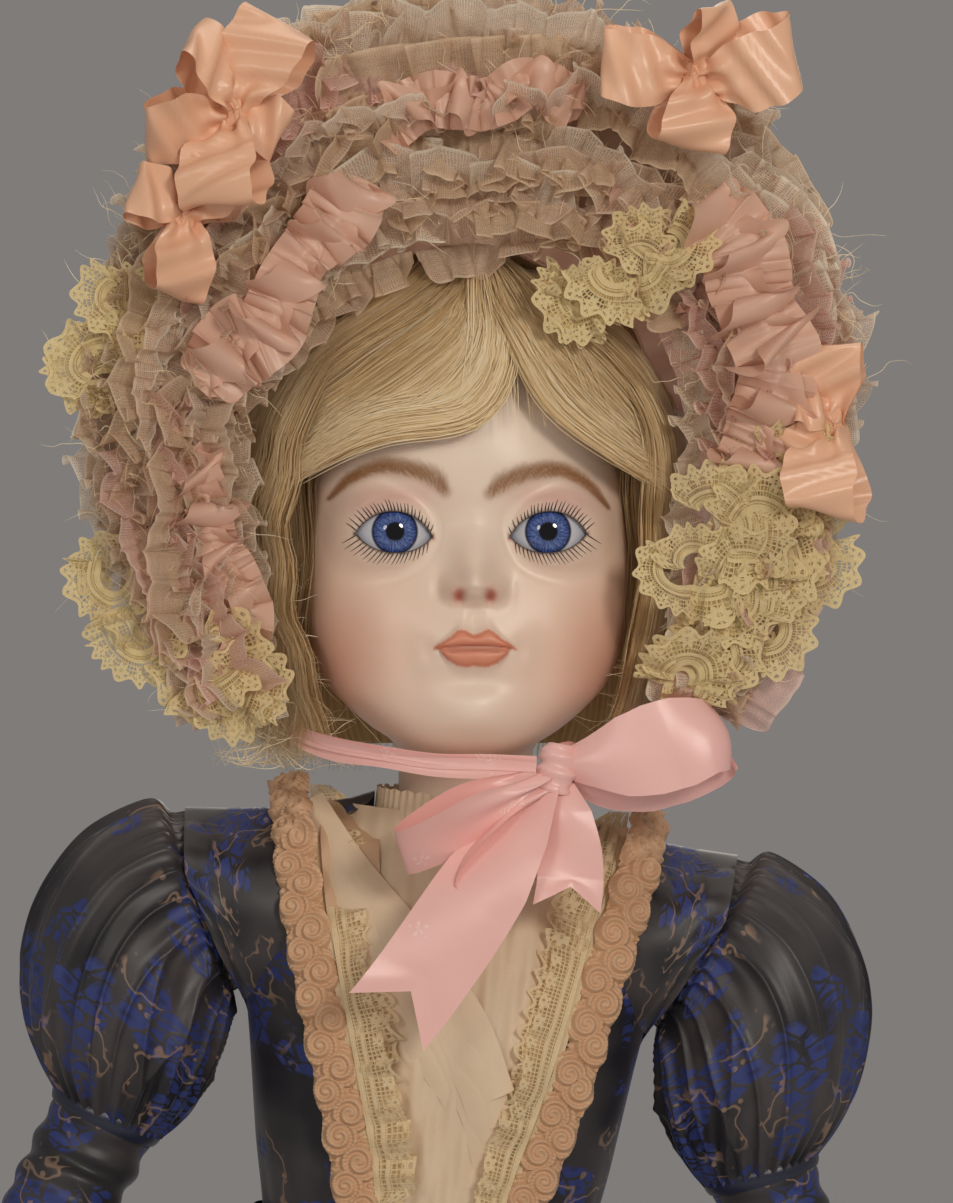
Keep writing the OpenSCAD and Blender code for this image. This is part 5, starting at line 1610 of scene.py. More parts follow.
def dress_front():
    # the plastron: soft silk laid in slanting folds
    x = np.linspace(-1, 1, 121)
    z = np.linspace(360, 478, 140)
    X, Z = mesh(x, z)
    half = np.interp(Z, [360, 480], [15, 47])
    px = X * half
    fold = 0.45 * np.sin((px * 0.55 + Z * 0.12) + 0.6 * np.sin(Z * 0.05)) + 0.3 * np.sin(px * 1.2 - Z * 0.07)
    P = chest(px, np.minimum(Z, 470), 1.6)
    P[..., 2] = Z
    P[..., 1] += np.clip(Z - 470, 0, 20) * 0.75 - fold
    P[..., 1] -= 0.9
    plast = grid("silk_plastron", P, M["cream"], body="torso", replaces=["plastron"], slot="cream_silk",
                 flip=True)
    # crossed fichu folds over the plastron, and its tan lapel
    parts = []
    for k in range(5):
        f = k / 4
        pts = [(-43 + 3 * f, 0, 478 - 4 * k), (-30 + 4 * f, 0, 462 - 5 * k), (-12 + 5 * f, 0, 444 - 6 * k),
               (6 + 5 * f, 0, 424 - 7 * k), (16 + 2 * f, 0, 404 - 8 * k)]
        q = np.array([chest(p[0], min(p[2], 469), 2.6 + 0.6 * (4 - k)) for p in pts])
        q[:, 2] = [p[2] for p in pts]
        q[0, 1] += 4
        parts.append(flat_ribbon("fold_%d" % k, q, [(0.75, 0.05, 0.62)] * 3, [9, 12, 10], M["cream"], n=60,
                                 nw=11, ripple=0.5, seed=k, cup=0.9, body="torso", slot="cream_silk"))
    fichu = join("silk_fichu", parts)
    lap = []
    for side, w0, w1 in ((-1, 17, 8), (1, 10, 6)):
        q = edge_line(side, -15, 482, 398, 4.6, n=21)[::3]
        lap.append(flat_ribbon("lapel_%d" % side, q, [(side * 1.0, 0.55, 0.4), (side * 1.0, 0.25, 0.3),
                                                      (side * 0.9, 0.2, 0.35)], [w0, w0 * 0.9, w1], M["tan"],
                                                      n=70, nw=15, ripple=0.5,
                               seed=side, cup=0.8, body="torso", slot="cream_silk"))
    lapel = join("silk_lapels", lap)
    # neckband with a small standing pleat
    th = np.linspace(0, 2 * pi, 241)
    v = np.linspace(0, 1, 12)
    T, V = mesh(th, v)
    rad = 24.2 + 0.28 * np.sin(T * 58) * (0.4 + V) + 0.8 * (1 - V) ** 2
    B = around(T, rad, rad, 473.5 + 9.8 * V - 0.4 * np.cos(T * 29), cy=5)
    band = grid("silk_neckband", B, M["cream"], body="torso", replaces=["neckband"], slot="cream_silk")


def dress_trim():
    for side, name in ((1, "left"), (-1, "right")):
        # cream lace inside, in two overlapping rows
        ps = []
        for k, (shift, out, width, amp) in enumerate([(-5.5, 5.6, 15.0, 1.9), (-7.5, 6.4, 10.5, 1.6)]):
            q = edge_line(side, shift, 489, 368, out, n=40)
            inward = np.array([[-side, -0.50, -0.42], [-side, -0.46, -0.42], [-side, -0.34, -0.42],
                               [-side, -0.26, -0.42]])
            ps.append(ruffle("lace_%s_%d" % (name, k), q, inward, (0, -1, 0), width, 13.0, amp, M["lace"],
                             50 + k + 7 * side, lift=0.4, step=0.6,
                             wild=1.5,
                             body="torso", slot="cream_lace"))
        o = join("dress_lace_" + name, ps)
        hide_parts("lace_" + name)
        # snail-shell ruching: a ribbon stitched in a zigzag and drawn up, so its edges puff out in turn
        q = edge_line(side, 0, 490, 366, 6.0, n=50)
        p = spline(q, 760)
        L = length_of(p)
        s = np.linspace(0, L, len(p))
        t = tangents(p)
        nrm = unit(np.stack([0.25 * p[:, 0] / 50, -np.ones(len(p)), 0 * s], 1))
        nrm = square_to(t, nrm)
        ac = np.cross(t, nrm)
        v = np.linspace(-1, 1, 33)[None]
        pitch = 6.4
        half = 6.3 * (1 + 0.10 * np.cos(pi * s / pitch)[:, None] * np.sign(v))
        k = np.arange(-1, int(s[-1] / pitch) + 2)
        r = np.random.default_rng(3 + side)
        sc = k * pitch + 0.8 * r.normal(size=len(k))
        vc = 2.1 * np.where(k % 2 == 0, 1, -1) + 0.4 * r.normal(size=len(k))
        ds, dv = s[:, None, None] - sc, (v * half)[..., None] - vc
        rr = np.hypot(ds, dv)
        near = rr.argmin(-1)[..., None]
        rad = np.take_along_axis(rr, near, -1)[..., 0]
        ang = np.arctan2(np.take_along_axis(dv, near, -1), np.take_along_axis(ds, near, -1))[..., 0]
        hand = np.where(near[..., 0] % 2 == 0, 1, -1)
        puff = 3.0 * np.sqrt(np.clip(1 - (rad / 6.6) ** 2, 0, 1)) * np.clip(1.1 - v ** 8, 0, 1)
        scroll = 0.75 * np.cos(2 * pi * rad / 2.5 + hand * ang) * np.clip(rad / 1.5, 0, 1)
        pleats = 0.16 * np.cos(ang * 22 + rad) * np.clip(rad / 3, 0, 1)
        P = p[:, None] + ac[:, None] * (v * half)[..., None] + nrm[:, None] * (puff + scroll + pleats)[...,
                None]
        o = grid("snail_ruching_" + name, P, M["apricot"], flip=side < 0, body="torso",
                 replaces=["ruching_" + name], slot="apricot_ribbon")


def sash_and_buttons():
    th = np.linspace(0, 2 * pi, 241)
    v = np.linspace(0, 1, 30)
    T, V = mesh(th, v)
    rows = smooth_rows([(342, 2, 53, 46), (354, 2, 50.6, 42.8), (364, 2, 50, 41.6)], 30)
    z, cy, rx, ry = (rows[:, k][None] for k in range(4))
    fold = 0.75 * np.sin(V * 17 + 0.8 * np.sin(T * 3)) + 0.25 * np.sin(T * 17 + V * 3)
    P = around(T, rx + fold, ry + fold, z + 0.6 * np.sin(T * 2), cy=cy)
    sash = grid("satin_sash", P, M["navy"], body="torso", replaces=["waist_sash"], slot="navy_satin")
    # the closing at the back: a placket with glass buttons
    q = []
    for z in np.linspace(366, 471, 24):
        cyz, _, hdz = torso_at(z)
        q.append((2.0, cyz + hdz + 4.9, z))
    placket = flat_ribbon("back_placket", q, [(1, 0, 0)] * 2, [12, 12], M["brocade"], n=80, nw=9, ripple=0.1,
                          cup=-0.4, body="torso", slot="brocade")
    bs = []
    for k in range(7):
        z = 372 + 14 * k
        cyz, _, hdz = torso_at(z)
        ph = np.linspace(0, pi / 2 + 0.5, 14)
        th = np.linspace(0, 2 * pi, 25)[:-1]
        r, h = 3.1 * np.sin(ph), 1.7 * np.cos(ph)
        Bt = np.stack([r[None] * np.cos(th)[:, None], cyz + hdz + 5.8 + h[None] + 0 * th[:, None],
                       z + r[None] * np.sin(th)[:, None]], -1)
        bs.append(grid("button_%d" % k, Bt, M["button"], close_u=True, body="torso",
                       slot="dark_glass_button"))
    o = join("glass_buttons", bs)
    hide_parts("back_buttons")


bodice()
dress_front()
dress_trim()
sash_and_buttons()


# ---------------------------------------------------------------- sleeves, arms and hands

LIFT, BEND = math.radians(22), math.radians(18)
SHOULDER = np.array([67.0, SHOULDER_Y, SHOULDER_Z])


def rot(axis, a):
    return np.array(Matrix.Rotation(a, 3, axis))


def arm_place(v, side, elbow=False):
    """Arms are drawn hanging from a shoulder at the origin, or a forearm from an elbow at the origin."""
    v = np.asarray(v, float)
    if elbow:
        v = v @ rot("X", -BEND).T + np.array([0, 0, -82.0])
    v = v @ rot("Y", -LIFT).T + SHOULDER
    v = v.copy()
    v[..., 0] *= side
    return v


def apply_modifiers(o):
    dg = bpy.context.evaluated_depsgraph_get()
    me = bpy.data.meshes.new_from_object(o.evaluated_get(dg))
    o.modifiers.clear()
    o.data = me


def melt(o, voxel, smooth):
    """Closed forms melted into one skin."""
    m = o.modifiers.new("fuse", "REMESH")
    m.mode = "VOXEL"
    m.voxel_size = voxel * MM
    m.use_smooth_shade = True
    s = o.modifiers.new("soften", "SMOOTH")
    s.iterations = smooth
    apply_modifiers(o)


def closed_tube(name, pts, radii, material, n=40, sides=20, flat=1.0, up=(0, 0, 1), place=lambda q: q):
    """A round-ended limb through points; radii are given at the points, flat squeezes it along up."""
    p = spline(pts, n)
    r = np.interp(np.linspace(0, 1, n), np.linspace(0, 1, len(radii)), radii)
    t = tangents(p)
    e1 = unit(np.cross(t, np.asarray(up, float)))
    e2 = np.cross(t, e1)
    cap = np.sqrt(np.clip(1 - np.linspace(1, 0, 6) ** 2, 0, 1))
    head = [(p[0] - t[0] * r[0] * math.cos(math.asin(c)), r[0] * max(c, 0.02), 0) for c in cap[:-1]]
    tail = [(p[-1] + t[-1] * r[-1] * math.cos(math.asin(c)), r[-1] * max(c, 0.02),
             n - 1) for c in cap[:-1][::-1]]
    a = np.linspace(0, 2 * pi, sides + 1)[:-1]
    rings = head + [(p[i], r[i], i) for i in range(n)] + tail
    P = np.array([c + rad * (np.cos(a)[:, None] * e1[i] + flat * np.sin(a)[:, None] * e2[i]) for c, rad,
                  i in rings])
    V = P.reshape(-1, 3)
    nu, nv = P.shape[:2]
    F = [list(q) for q in grid_faces(nu, nv, close_v=True)]
    V = np.vstack([V, P[0].mean(0), P[-1].mean(0)])
    for k in range(nv):
        F.append([k, (k + 1) % nv, nu * nv, nu * nv])
        F.append([(nu - 1) * nv + (k + 1) % nv, (nu - 1) * nv + k, nu * nv + 1, nu * nv + 1])
    me = bpy.data.meshes.new(name)
    me.from_pydata([tuple(q) for q in place(V) * MM], [], [f if f[2] != f[3] else f[:3] for f in F])
    return link(name, me, material)


PUFF = np.array([[50, 424.5, 52, 469.5, 22.6], [57, 424.5, 63, 470.3, 23.2], [60.0, 423.5, 74, 471.3, 23.2],
                 [59.6, 422.5, 80.5, 470.5, 24.4], [59.4, 421, 87, 474, 28], [59.6, 417, 103, 465, 32],
                 [60.3, 412, 113, 451, 34], [61.6, 405, 118, 436, 34], [64, 398, 118.5, 423, 32],
                 [67, 391, 116.5, 410, 28],
                 [71.5, 385, 112, 400, 22], [77, 380, 106.4, 391.6, 15.7]])


def sleeve(side, name):
    rows = smooth_rows(PUFF, 150)
    a = np.linspace(0, 2 * pi, 421)
    f = np.linspace(0, 1, len(rows))[:, None]
    p = np.stack([rows[:, 0], np.full(len(rows), 4.0), rows[:, 1]], 1)
    q = np.stack([rows[:, 2], np.full(len(rows), 4.0), rows[:, 3]], 1)
    mid, u = (p + q) / 2, (q - p) / 2
    base = mid[:, None] + np.cos(a)[None, :, None] * u[:, None] + np.sin(a)[None, :,
            None] * np.array([0, 1.0, 0]) * rows[:, 4][:, None, None]
    out = unit(base - mid[:, None])
    A = a[None] + 0 * f
    # gathers at the armhole and at the band, long soft folds between them
    g1 = np.exp(-((f - 0.2) / 0.16) ** 2)
    g2 = np.exp(-((1 - f) / 0.17) ** 2)
    warp = 0.5 * np.sin(3 * A + 2.1 + side) + 0.35 * np.sin(5 * A + 4 * f + 1)
    d = 1.25 * g1 * np.sin(34 * A + 3 * warp) + 1.2 * g2 * np.sin(30 * A + 3 * warp + 2)
    ridge = 1 - np.abs(np.sin(5.5 * A + warp * 1.6 + 1.3 * f + 0.7 * side))
    full = np.sin(pi * np.clip((f - 0.17) / 0.83, 0, 1))
    d += 3.4 * (ridge ** 2.2 - 0.35) * full ** 0.6 * (0.55 + 0.45 * np.sin(2 * A + 0.8))
    ridge2 = 1 - np.abs(np.sin(8.5 * A - warp * 2 - 3.1 * f + side))
    d += 1.9 * (ridge2 ** 3 - 0.25) * full
    dents = 0
    for along, reach, at, spread in ((0.55, 0.16, 2.2, 0.35), (0.42, 0.12, 4.4, 0.4)):
        dents = dents + np.exp(-((f - along) / reach) ** 2) * np.exp(-((np.angle(np.exp(1j * (A - at)))
                / spread) ** 2))
    d -= 3.0 * dents
    d *= smoothstep(f, 0.04, 0.16)
    d -= 1.3 * np.exp(-((f - 0.185) / 0.022) ** 2)
    P = base + out * d[..., None]
    P[..., 0] *= side
    o = grid("puffed_sleeve_" + name, P, M["brocade"], flip=side > 0, replaces=["sleeve_puff_" + name],
             slot="brocade")
    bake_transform(o)
    # the tight lower sleeve, creased round the elbow and caught up under the puff's band
    z = np.linspace(15, -62, 120)
    th = np.linspace(0, 2 * pi, 97)
    Z, T = mesh(z, th)
    r = np.interp(-Z, [-15, -6, 10, 14, 40, 60, 62], [14.8, 15.0, 14.9, 14.5, 13.5, 12.1, 11.9])
    cre = 0.6 * np.sin(Z * 0.62 + 1.2 * np.sin(T + 0.5) + 0.5 * np.sin(3 * T)) * smoothstep(Z, -50,
            -16) + 0.25 * np.sin(Z * 0.35 + 2 * T)
    turn = BEND * (1 - smoothstep(Z, -9, 9))
    x, y = (r + cre) * np.cos(T), (r + cre) * np.sin(T)
    Q = np.stack([x, y * np.cos(turn) + Z * np.sin(turn), Z * np.cos(turn) - y * np.sin(turn)], -1)
    low = grid("tight_sleeve_" + name, arm_place(Q + np.array([0, 0, -82.0]), side), M["brocade"],
               flip=side < 0,
               replaces=["sleeve_lower_" + name], slot="brocade")
    top, under = arm_place([0, 0, -70.0], side) * MM, arm_place([0, 0, -94.0], side) * MM
    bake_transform(low)
    # a band of silk where the puff is gathered in
    bz = np.linspace(-1, 1, 9)
    Bz, Tt = mesh(bz, th)
    x0, z0, x1, z1, _ = PUFF[-1]
    c0 = np.array([(x0 + x1) / 2, SHOULDER_Y, (z0 + z1) / 2])
    axis = unit(np.array([-(z1 - z0), 0, x1 - x0]))
    uu = unit(np.array([x1 - x0, 0, z1 - z0]))
    rad = 15.9 + 0.8 * (1 - Bz ** 2)
    R3 = c0 + (np.cos(Tt) * rad)[..., None] * uu + (np.sin(Tt) * rad)[...,
                                                                      None] * np.array([0, 1.0,
                                                                              0]) + (Bz * 2.6)[...,
                                                                                      None] * axis
    R3[..., 0] *= side
    bandp = grid("sleeve_band_" + name, R3, M["navy"], flip=side > 0, body="upper_arm_" + name,
                 slot="navy_satin")
    # lace at the wrist
    wrist_r = 12.3
    Q2, V2 = mesh(np.linspace(0, 2 * pi, 260), np.linspace(0, 1, 12))
    amp = 2.0 * V2 ** 0.8
    rr = wrist_r + 4.6 * V2 ** 0.8 + amp * np.sin(Q2 * 15 + 0.8 * np.sin(3 * Q2))
    W = around(Q2 + 0.05 * V2 * np.sin(30 * Q2), rr, rr, -59.5 - 9.5 * V2 + 0.5 * np.sin(Q2 * 7))
    uvs = np.stack([Q2 * wrist_r * 1.7, V2 * 14], -1)
    cuff = grid("cuff_frill_" + name, arm_place(W, side, True), M["lace"], uv=uvs, body="forearm_" + name,
                replaces=["cuff_lace_" + name], slot="cream_lace")


def arm_and_hand(side, name):
    place = lambda v: arm_place(v, side, True)
    parts = [closed_tube("fore", [(0, 0, -16), (0, 0, -30), (0, 0, -50), (0, 0.5, -66), (-0.5, 0, -72)],
                         [10.4, 10.3, 8.4, 6.9, 6.6], M["composition"], place=place)]
    # the palm faces the body (towards -X here); fingers curl in a little
    parts.append(closed_tube("palm", [(-0.5, 0, -71), (-1.0, -0.5, -78), (-1.4, -0.5, -84)], [7.2, 8.9, 8.3],
                             M["composition"], n=20, flat=0.55, up=(1, 0, 0), place=place))
    for k, (y, ln, r) in enumerate([(-6.6, 14.5, 2.35), (-2.3, 17, 2.45), (2.0, 16, 2.4), (6.0, 12.5, 2.15)]):
        y2 = y * 0.82 + 0.3 * k - 0.4
        pts = [(-1.2, y * 0.85, -83), (-1.8, y, -88), (-3.2 - 0.5 * k, (y + y2) / 2, -88 - ln * 0.45),
               (-6.0 - 0.6 * k, y2, -87.5 - ln * 0.85)]
        parts.append(closed_tube("finger%d" % k, pts, [r * 1.1, r * 1.05, r, r * 0.82], M["composition"],
                                 n=24, sides=12, place=place))
    parts.append(closed_tube("thumb", [(-1.5, -5.5, -74), (-3.0, -9.5, -80), (-4.2, -11.0, -86),
                                       (-5.0, -10.8, -91)], [3.8, 3.2, 2.7, 2.2], M["composition"], n=24,
                                       sides=12, place=place))
    o = join("forearm_and_hand_" + name, parts)
    melt(o, 0.7, 5)
    assign(o, "forearm_" + name, ["forearm_" + name])


for side, name in ((1, "left"), (-1, "right")):
    arm_and_hand(side, name)
    sleeve(side, name)


# ---------------------------------------------------------------- skirt, petticoat, legs and shoes

def thicken(o, mm):
    m = o.modifiers.new("thickness", "SOLIDIFY")
    m.thickness = mm * MM
    m.offset = 0
    apply_modifiers(o)


def skirt():
    hem_z, waist = 78, 354
    rows = smooth_rows([(78, 0, 141, 141), (130, 0, 129, 129), (190, 0, 112, 112), (250, 0, 93, 92),
                        (300, 1, 74, 71), (330, 1, 58, 53),
                        (345, 2, 49.5, 42.5), (354, 2, 47.6, 39.8)], 130)
    th = np.linspace(0, 2 * pi, 601)
    z, cy, rx, ry = (rows[:, k][:, None] for k in range(4))
    f = (waist - z) / (waist - hem_z)
    T = th[None] + 0 * z
    warp = 0.5 * np.sin(3 * T + 0.4) + 0.4 * np.sin(7 * T + 1.3)
    big = 5.4 * f ** 1.2 * (np.sin(17 * T + 2.2 * warp + 0.5 * f) + 0.30 * np.sin(34 * T + 4.4 * warp + 0.6))
    mid = 1.5 * np.sin(pi * f) * np.sin(29 * T - 3 * warp + 1.2 * f)
    tight = 0.9 * np.exp(-(f / 0.10) ** 2) * np.sin(75 * T + 5 * warp)
    d = big + mid + tight - 2.5 * f
    hem = 1.6 * f ** 4 * np.sin(17 * T + 2.2 * warp + 1.8)
    P = around(T, rx + d, ry + d, z + hem, cy=cy)
    o = grid("skirt_brocade", P, M["brocade"], body="torso", replaces=["skirt"], slot="brocade", flip=True)
    # hem: turned up inside
    zt = np.linspace(0, 1, 10)[None, :]
    base = P[0]
    inner = P[8]
    turn = base[:, None] * (1 - zt[..., None]) + inner[:, None] * zt[..., None]
    shrink = 1 - 0.012 * np.sin(pi * zt / 2) ** 0.5
    turn[..., :2] *= shrink[..., None]
    turn[..., 2] -= 0.4 * np.sin(pi * zt)
    h = grid("skirt_hem_facing", turn, M["navy"], body="torso", slot="navy_satin")
    rows2 = smooth_rows([(99, 0, 119, 119), (140, 0, 112, 112), (190, 0, 98, 98), (250, 0, 79, 78),
                         (300, 1, 62, 59), (330, 1, 51, 45), (340, 2, 48.5, 41.5)], 80)
    z, cy, rx, ry = (rows2[:, k][:, None] for k in range(4))
    f = (340 - z) / 244
    T = th[None] + 0 * z
    d = 2.6 * f * np.sin(24 * T + 2 * np.sin(2 * T)) + 0.6 * np.sin(61 * T) * np.exp(-(f / 0.15) ** 2) - 2 * f
    P2 = around(T, rx + d, ry + d, z, cy=cy)
    pet = grid("petticoat_cotton", P2, M["cotton"], body="torso", replaces=["petticoat"],
               slot="white_cotton", flip=True)
    q = np.linspace(0, 2 * pi, 90)
    for k, (zz, rad, wd, cloth, slot) in enumerate(((112, 117.5, 22, "cotton", "white_cotton"),
                                                    (126, 114.5, 13, "lace", "cream_lace"))):
        ring = around(q, rad, rad, zz)
        radial = around(q, 0.25, 0.25, -1)
        frill = ruffle_ring("petticoat_frill_%d" % k, ring, radial, wd, 15, 2.2, M[cloth], 33 + k)
        assign(frill, "torso")


def ruffle_ring(name, ring, out, width, wavelength, amp, material, seed):
    p = spline(ring, 900)
    L = length_of(p)
    s = np.linspace(0, L, len(p))
    t = tangents(p)
    o = unit(evenly(out, len(p)))
    n = np.cross(t, o)
    v = np.linspace(0, 1, 9)[None]
    k = round(L / wavelength)
    ph = (2 * pi * k * s / L + 0.8 * np.sin(2 * pi * 5 * s / L + seed))[:, None]
    P = p[:, None] + o[:, None] * (v * width)[..., None] + n[:, None] * (amp * np.sin(ph) * v ** 0.8)[...,
            None] + t[:, None] * (0.4 * amp * np.sin(2 * ph) * v)[..., None]
    uv = np.stack(mesh(s * 1.5, v[0] * width), -1)
    return grid(name, P, material, uv=uv)


def hull_of(name, balls, grow, material):
    bm = bmesh.new()
    for x, y, z, r in balls:
        for i in range(25):
            ph = pi * i / 24
            for j in range(36):
                a = 2 * pi * j / 36
                R = r + grow
                bm.verts.new(((x + R * math.sin(ph) * math.cos(a)) * MM,
                              (y + R * math.sin(ph) * math.sin(a)) * MM, (z + R * math.cos(ph)) * MM))
    res = bmesh.ops.convex_hull(bm, input=bm.verts)
    bmesh.ops.delete(bm, geom=[g for g in res["geom_interior"] if isinstance(g, bmesh.types.BMVert)],
                     context="VERTS")
    me = bpy.data.meshes.new(name)
    bm.to_mesh(me)
    bm.free()
    return link(name, me, material)


def keep_faces(o, test):
    """Drops the faces whose middle (in millimetres) fails the test."""
    bm = bmesh.new()
    bm.from_mesh(o.data)
    bad = [f for f in bm.faces if not test(f.calc_center_median() * 1000)]
    bmesh.ops.delete(bm, geom=bad, context="FACES")
    bm.to_mesh(o.data)
    bm.free()


def leg(side, name):
    body_t, body_l = "thigh_" + name, "lower_leg_" + name
    cx = 30 * side
    th = np.linspace(0, 2 * pi, 145)
    # drawers with tucks and a lace edge
    rows = smooth_rows([(169, 0, 26.4, 0), (185, 0, 25.6, 0), (200, 0, 24.8, 0), (240, 0, 22.3, 0),
                        (256, 0, 21.2, 0)], 60)
    z, r = rows[:, 0][:, None], rows[:, 2][:, None]
    T = th[None] + 0 * z
    f = (256 - z) / 88
    tuck = 0.5 * np.exp(-((z - 186) / 1.2) ** 2) + 0.5 * np.exp(-((z - 191)
                                                                  / 1.2) ** 2) + 0.5 * np.exp(-((z - 196)
                                                                          / 1.2) ** 2)
    d = 0.7 * np.sin(15 * T + 1.1 * np.sin(2 * T)) * f + tuck - 0.3
    P = around(T, r + d, r + d, z, cx, 4)
    o = grid("drawers_cotton_" + name, P, M["cotton"], flip=True, body=body_t, replaces=["drawers_" + name],
             slot="white_cotton")
    q = np.linspace(0, 2 * pi, 50)
    ring = around(q, 26.0, 26.0, 172, cx, 4)
    radial = around(q, 0.12, 0.12, -1)
    fr = ruffle_ring("drawers_lace_" + name, ring, radial, 9, 8, 0.9, M["lace"], 70)
    assign(fr, body_t)
    # stocking: ribbed leg and a foot inside the shoe
    foot = [(cx, 10, 34, 9), (cx, 16, 14.5, 10), (cx, -8, 18, 10), (cx - 4, -28, 12.5, 8),
            (cx + 4, -28, 12.5, 8)]
    shin = closed_tube("shin", [(cx, 4, 30), (cx, 4, 40), (cx, 4, 60), (cx, 4, 90), (cx, 4, 115),
                                (cx, 4, 128)], [9.9, 10.6, 12.7, 15.8, 16.8, 16.4], M["cotton"], n=60,
                                sides=40,
                       up=(0, 1, 0))
    sock = join("stocking_cotton_" + name, [shin, hull_of("foot", foot, 0.6, M["cotton"])])
    melt(sock, 1.1, 4)
    me = sock.data
    co = np.array([v.co for v in me.vertices]) * 1000
    ang = np.arctan2(co[:, 1] - 4, co[:, 0] - cx)
    amt = 0.22 * np.sin(ang * 26) * smoothstep(co[:, 2], 34, 44)
    bag = 0.5 * np.exp(-((co[:, 2] - 47) / 3) ** 2) * np.sin(co[:, 2] * 1.5 + 1.5 * np.sin(ang * 2))
    amt = amt + bag
    co[:, 0] += amt * np.cos(ang)
    co[:, 1] += amt * np.sin(ang)
    me.vertices.foreach_set("co", (co * MM).astype(np.float32).ravel())
    me.update()
    assign(sock, body_l, ["stocking_" + name])
    # shoe: a low kid slipper with a strap, a button, and a bow on the vamp
    shoe = hull_of("kid_shoe_" + name, foot, 2.1, M["kid"])
    melt(shoe, 0.9, 4)

    def uppers(c):
        top = np.interp(c.y, [-40, -22, -16, -9, 0, 14, 26], [40, 40, 22.5, 17.5, 18.5, 25, 29])
        return 2.4 < c.z < top
    keep_faces(shoe, uppers)
    thicken(shoe, 1.0)
    assign(shoe, body_l, ["shoe_" + name])
    strap = [(cx - 12.6, 8, 20), (cx - 12.2, 1, 28), (cx - 6, -6.5, 33), (cx, -8.8, 34.2),
             (cx + 6, -6.5, 33), (cx + 12.2, 1, 28), (cx + 12.6, 8, 20)]
    st = flat_ribbon("shoe_strap", strap, [(0, -0.75, 1)] * 3, [5, 5, 5], M["kid"], n=60, nw=7, ripple=0.05,
                     cup=0.3)
    thicken(st, 0.9)
    bt = closed_tube("shoe_button", [(cx + side * 12.9, 0.6, 28.5), (cx + side * 14.3, 0.6, 28.7)],
                     [1.7, 1.5], M["button"], n=6, sides=16)
    bows = []
    for k, sx in enumerate((-1, 1)):
        bows.append(bow_loop("shoebow%d" % k, (cx, -20.5, 23.5), (sx, -0.25, 0.15), (0, -0.5, 1), 11, 6.5,
                             M["kid"], full=0.45, seed=k))
        bows.append(flat_ribbon("shoetail%d" % k, [(cx, -21, 23.5), (cx + sx * 4, -25.5, 21.5),
                                                   (cx + sx * 7, -29, 18.2)], [(1, sx * 0.4, 0)] * 2, [3, 5],
                                                   M["kid"], n=20, nw=5, ripple=0.1))
    bk = closed_tube("shoeknot", [(cx - 1.6, -21.6, 23.8), (cx + 1.6, -21.6, 23.8)], [2.1, 2.1], M["kid"],
                     n=6, sides=14)
    trim = join("shoe_strap_and_bow_" + name, [st, bk] + bows)
    assign(trim, body_l)
    bt.name = "shoe_button_" + name
    assign(bt, body_l)
    # sole, the same thickness from heel to toe
    a = np.linspace(0, 2 * pi, 121)[:-1]
    half = np.interp(np.sin(a), [-1, -0.6, 0, 0.55, 1], [12.5, 14.2, 12.2, 11.2, 10.5])
    X = half * np.cos(a) * np.abs(np.cos(a)) ** -0.12
    Yc = -5 + 33.2 * np.sin(a)
    prof = [(0.90, 0.0), (0.985, 0.0), (1.0, 0.5), (1.0, 2.3), (0.98, 2.9), (0.90, 3.1)]
    S = np.stack([np.stack([cx + X * s, -5 + (Yc + 5) * s, 0 * a + zz], 1) for s, zz in prof])
    V = S.reshape(-1, 3)
    F = [list(q) for q in grid_faces(len(prof), len(a), close_v=True)]
    n0 = len(V)
    V = np.vstack([V, [[cx, -5, 0.0], [cx, -5, 3.1]]])
    for k in range(len(a)):
        F.append([(k + 1) % len(a), k, n0])
        F.append([(len(prof) - 1) * len(a) + k, (len(prof) - 1) * len(a) + (k + 1) % len(a), n0 + 1])
    me = bpy.data.meshes.new("leather_sole_" + name)
    me.from_pydata([tuple(p) for p in V * MM], [], F)
    so = link("leather_sole_" + name, me, M["sole"])
    for p in so.data.polygons:
        p.use_smooth = True
    assign(so, body_l, ["sole_" + name])


skirt()
for side, name in ((1, "left"), (-1, "right")):
    leg(side, name)


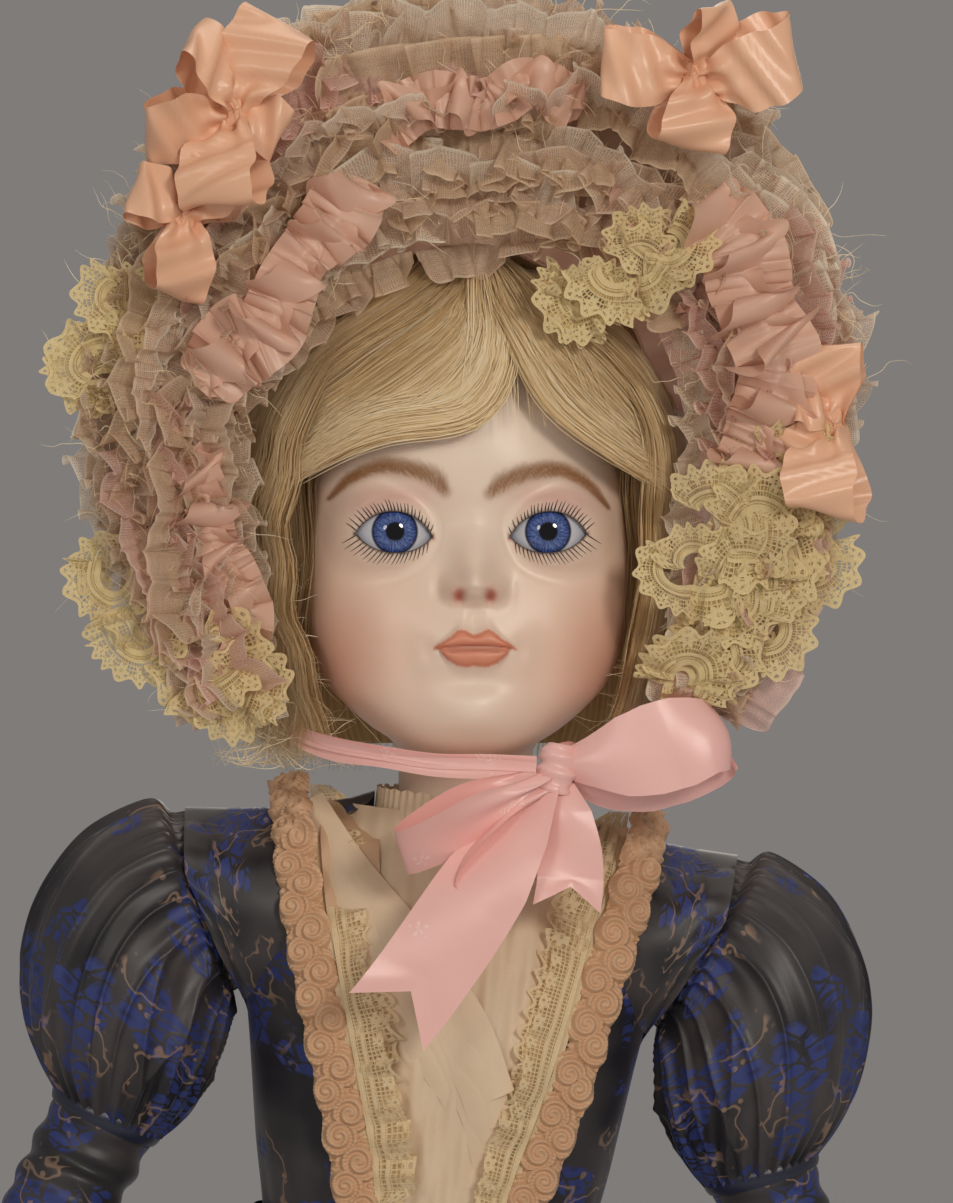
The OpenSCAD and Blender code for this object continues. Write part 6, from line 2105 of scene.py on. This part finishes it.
# CAD nodes whose shape is right keep it and only get a better finish
CAD_LOOKS = {"torso_shell": "composition", "arm_elastic": "elastic", "leg_elastic": "elastic",
             "neck_hook": "iron",
             "neck_button": "wood", "neck_spring": "iron", "neck_washer": "iron", "eye_plaster": "plaster",
             "cork_pate": "cork"}
for name in ("left", "right"):
    for part in ("shoulder_ball", "upper_arm", "elbow_ball", "thigh", "knee_ball", "lower_leg"):
        CAD_LOOKS[part + "_" + name] = "composition"


# ---------------------------------------------------------------- floor and light

def studio():
    bpy.ops.mesh.primitive_circle_add(radius=2.3, vertices=96, fill_type="NGON")
    floor = bpy.context.object
    floor.name = "floor"
    m = Mat("backdrop", Roughness=0.9)
    p = m.obj()
    m.set(Base_Color=m.mix(m.noise(p, 2, 2), lin((196, 196, 198)), lin((188, 188, 191))))
    far = m.node("VectorMath", out="Value", props={"operation": "LENGTH"}, i0=p)
    m.see_through(m.ramp(m.math("DIVIDE", far, 2.3), [(0.35, 1.0), (0.95, 0.0)]))
    floor.data.materials.append(m.m)
    w = bpy.data.worlds.new("world")
    bpy.context.scene.world = w
    w.use_nodes = True
    w.node_tree.nodes["Background"].inputs[0].default_value = (*lin((127, 124, 122)), 1)
    w.node_tree.nodes["Background"].inputs[1].default_value = 1.0

    def area(name, at, size, power, colour=(255, 247, 236), look=(0, 0, 0.53), glossy=True):
        light = bpy.data.lights.new(name, "AREA")
        light.shape = "DISK"
        light.energy = power
        light.size = size
        light.color = lin(colour)
        o = bpy.data.objects.new(name, light)
        o.location = at
        o.rotation_euler = (Vector(look) - Vector(at)).to_track_quat("-Z", "Y").to_euler()
        o.visible_glossy = glossy
        bpy.context.scene.collection.objects.link(o)

    area("key", (0.6, -1.55, 1.1), 0.36, 10.0)
    area("fill", (-0.75, -1.5, 0.85), 0.42, 3.7)
    area("top", (0.0, 0.1, 1.75), 0.9, 4.3)
    area("low", (0.0, -1.6, 0.45), 1.0, 2.3, glossy=False)
    area("behind", (0.2, 1.6, 1.1), 1.0, 5.5)
    bpy.context.scene.view_settings.view_transform = "Standard"


studio()
for node, material in CAD_LOOKS.items():
    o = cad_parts[node]
    o.data.materials.clear()
    o.data.materials.append(M[material])
